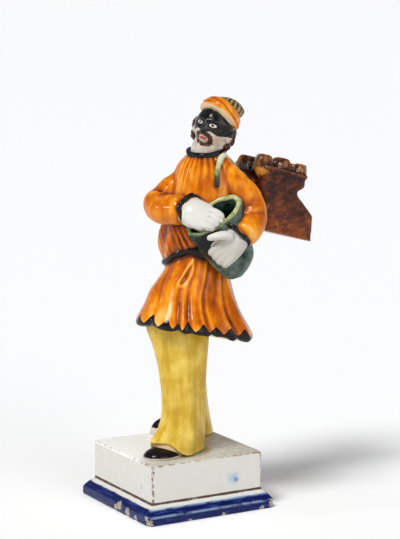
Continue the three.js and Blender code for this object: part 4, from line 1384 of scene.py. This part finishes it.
class FIGURE_OT_plinth(bpy.types.Operator):
    """Makes the white plinth with its blue moulding, brown lines and chips"""
    bl_idname = "figure.plinth"
    bl_label = "Plinth"

    def execute(self, context):
        mesh = fused({"block": [plinth_block()]}, sizes().body_grain * 1.15)
        points, normals = self.flattened(points_of(mesh)), normals_of(mesh)
        chip = np.full(len(points), OUTSIDE)
        for x, y, z, radius, depth in CHIPS:
            far = np.linalg.norm(points - np.array((x, y, z)), axis=1)
            waves = np.sin(2.1 * points[:, 0] + 1.7 * points[:, 1] + 2.9 * points[:, 2])
            ragged = radius * (1 + 0.25 * waves)
            inside = np.clip(ragged - far, 0, None)
            points -= normals * (depth * np.clip(inside * 1.6, 0, 1))[:, None]
            chip = np.maximum(chip, ragged - far)
        mesh.vertices.foreach_set("co", points.ravel())
        self.fields(mesh, points, normals)
        store(mesh, "chip", chip)
        mesh.transform(Matrix.Scale(MM, 4))
        placed("moulded_plinth", mesh, plinth_glaze(), "plinth")
        return {"FINISHED"}

    @staticmethod
    def flattened(points):
        """The points with those close to the white box's faces laid flat on them."""
        box = sizes().box_side / MM / 2
        faces = np.array((box, box, sizes().plinth_height / MM))
        close = np.abs(np.abs(points) - faces) < 0.25
        close[:, :2] &= (points[:, 2] > FOOT_EDGE + FOOT_SLOPE + BAND_HEIGHT + 1)[:, None]
        return np.where(close, np.sign(points) * faces, points)

    def fields(self, mesh, points, normals):
        """Where the blue, the brown lines, the smudge, the thin blue with painted highlights, the soiling
        with painted shade, and the painted light on the top go.
        """
        x, y, z = points.T
        box = sizes().box_side / MM / 2
        slope_top = FOOT_EDGE + FOOT_SLOPE
        band_top = slope_top + BAND_HEIGHT
        top = sizes().plinth_height / MM
        upward = np.abs(normals[:, 2]) > 0.7
        out = np.maximum(np.abs(x), np.abs(y)) - box
        store(mesh, "blue", np.where((z < 1) & upward, 1, slope_top - 0.1 - z))
        # Thin blue with painted highlights along the moulding's two ridges.
        streaks = np.minimum(np.abs(z - slope_top + 0.2), np.abs(z - FOOT_EDGE - 0.2))
        thin_blue_and_highlight = np.where(x > box, 0.6, -0.2) - streaks
        store(mesh, "thin_blue_and_highlight", np.where((z > 1) & (z < band_top), thin_blue_and_highlight, OUTSIDE))
        store(mesh, "line", 0.8 - np.abs(z - band_top - 0.5))
        to_corner = np.hypot(np.abs(x) - box, np.abs(y) - box)
        store(mesh, "edge", np.where(z > band_top, 1.2 - to_corner, OUTSIDE))
        to_end = 1 - np.abs(np.abs(x) - np.abs(y)) / box
        store(mesh, "rim", 0.25 + 0.8 * to_end - np.hypot(z - top + 0.2, out + 0.2))
        store(mesh, "smudge", np.where(x > box - 1, 1 - np.hypot(y - 18.5, z - 21.4) / 7, OUTSIDE))
        store(mesh, "spot", np.where(x > box - 1, 1.5 - np.hypot(y - 20.4, z - 20.4), OUTSIDE))
        along = np.maximum(np.abs(z - 20.7) - 1.5, 0)
        store(mesh, "tick", np.where(y < 1 - box, 0.4 - np.hypot(x - 25, along), OUTSIDE))
        # Painted light on the top, palest towards its -x, -y corner.
        store(mesh, "painted_light_on_top", np.where(z > top - 1, 0.5 - 0.04 * (x + 0.6 * y), -1))
        # Soiling and painted shade on the top: darker towards +y and round the feet.
        grime_and_shade = np.where(z > top - 1, 0.5 + 0.007 * y, 0.12)
        for foot_x, foot_y, wide, deep in FEET:
            near = np.abs(np.hypot((x - foot_x) / wide, (y - foot_y) / deep) - 1)
            grime_and_shade += np.where(z > top - 1, 0.55 * np.exp(-(near / 0.14) ** 2), 0)
        store(mesh, "dirt_and_shade", grime_and_shade)


# Stage

CAMERA_TURN, CAMERA_RISE = 60.03, 9.17
CAMERA_DISTANCE = 1.2528
CAMERA_ASIDE, CAMERA_AIM_HEIGHT = 0.01474, 0.1506
LONG_SIDE_PIXELS, FOCAL_PIXELS = 539, 1980
SENSOR_WIDTH = 36
FLOOR_RADIUS = 40


class FIGURE_OT_stage(bpy.types.Operator):
    """Makes the camera, the pale floor and the soft studio light"""
    bl_idname = "figure.stage"
    bl_label = "Camera, floor and light"

    def execute(self, context):
        self.camera(context.scene)
        self.floor(context.scene)
        self.lights(context.scene)
        return {"FINISHED"}

    def camera(self, scene):
        data = bpy.data.cameras.new("camera")
        data.sensor_width = SENSOR_WIDTH
        data.lens = FOCAL_PIXELS / LONG_SIDE_PIXELS * SENSOR_WIDTH
        data.clip_end = 100
        camera = bpy.data.objects.new("camera", data)
        turn, rise = radians(CAMERA_TURN), radians(CAMERA_RISE)
        right = Vector((cos(turn), sin(turn), 0))
        back = Vector((sin(turn) * cos(rise), -cos(turn) * cos(rise), sin(rise)))
        aim = right * CAMERA_ASIDE + Vector((0, 0, CAMERA_AIM_HEIGHT))
        camera.location = aim + back * CAMERA_DISTANCE
        camera.rotation_euler = (-back).to_track_quat("-Z", "Y").to_euler()
        scene.collection.objects.link(camera)
        scene.camera = camera

    def floor(self, scene):
        bm = bmesh.new()
        bmesh.ops.create_circle(bm, cap_ends=True, segments=64, radius=FLOOR_RADIUS)
        mesh = bpy.data.meshes.new("floor")
        bm.to_mesh(mesh)
        floor = bpy.data.objects.new("floor", mesh)
        material = bpy.data.materials.new("floor_paper")
        material.use_nodes = True
        shader = material.node_tree.nodes["Principled BSDF"]
        shader.inputs["Base Color"].default_value = (0.995, 0.995, 1, 1)
        shader.inputs["Roughness"].default_value = 0.7
        mesh.materials.append(material)
        scene.collection.objects.link(floor)

    def lights(self, scene):
        world = bpy.data.worlds.new("studio")
        world.use_nodes = True
        nodes, links = world.node_tree.nodes, world.node_tree.links
        towards, parts = nodes.new("ShaderNodeTexCoord"), nodes.new("ShaderNodeSeparateXYZ")
        glow = nodes.new("ShaderNodeMapRange")
        for name, value in {"From Min": 0, "From Max": 0.4, "To Min": 1.08, "To Max": 0.2}.items():
            glow.inputs[name].default_value = value
        sky = nodes["Background"]
        sky.inputs["Color"].default_value = (0.96, 0.98, 1, 1)
        links.new(towards.outputs["Generated"], parts.inputs[0])
        links.new(parts.outputs["Z"], glow.inputs["Value"])
        links.new(glow.outputs["Result"], sky.inputs["Strength"])
        scene.world = world
        scene.view_settings.view_transform = "Standard"
        turn = radians(CAMERA_TURN)
        right, near = Vector((cos(turn), sin(turn), 0)), Vector((sin(turn), -cos(turn), 0))
        self.sun("key", right * -0.42 + near * 0.56 + Vector((0, 0, 1)), 2.5, 20, scene)
        self.sun("front", right * 0.6 + near * 0.7 + Vector((0, 0, 0.35)), 0.85, 40, scene)
        self.sun("side", right * -0.94 + near * 0.1 + Vector((0, 0, 0.36)), 0.3, 7, scene)

    def sun(self, name, towards, strength, spread, scene):
        data = bpy.data.lights.new(name, "SUN")
        data.energy = strength
        data.angle = radians(spread)
        light = bpy.data.objects.new(name, data)
        light.rotation_euler = towards.to_track_quat("Z", "Y").to_euler()
        light.location = towards
        scene.collection.objects.link(light)


class FIGURE_PT_panel(bpy.types.Panel):
    """Buttons for the figure's pieces, and their sizes and colours"""
    bl_idname = "FIGURE_PT_panel"
    bl_label = "Glazed figure"
    bl_space_type = "VIEW_3D"
    bl_region_type = "UI"
    bl_category = "Figure"

    def draw(self, context):
        for piece in OPERATORS:
            self.layout.operator(piece.bl_idname)
        for group in (context.scene.figure_sizes, context.scene.figure_colours):
            column = self.layout.column()
            for name in group.bl_rna.properties.keys():
                if name not in ("rna_type", "name"):
                    column.prop(group, name)


OPERATORS = (
    FIGURE_OT_plinth, FIGURE_OT_legs, FIGURE_OT_tunic, FIGURE_OT_head, FIGURE_OT_pannier, FIGURE_OT_stage,
)
CLASSES = (FigureSizes, FigureColours, *OPERATORS, FIGURE_PT_panel)


def register():
    for kind in CLASSES:
        bpy.utils.register_class(kind)
    bpy.types.Scene.figure_sizes = bpy.props.PointerProperty(type=FigureSizes)
    bpy.types.Scene.figure_colours = bpy.props.PointerProperty(type=FigureColours)


def unregister():
    del bpy.types.Scene.figure_colours
    del bpy.types.Scene.figure_sizes
    for kind in reversed(CLASSES):
        bpy.utils.unregister_class(kind)


def main():
    register()
    bpy.ops.figure.stage()
    bpy.ops.figure.plinth()
    bpy.ops.figure.legs()
    bpy.ops.figure.tunic()
    bpy.ops.figure.head()
    bpy.ops.figure.pannier()


if __name__ == "__main__":
    main()
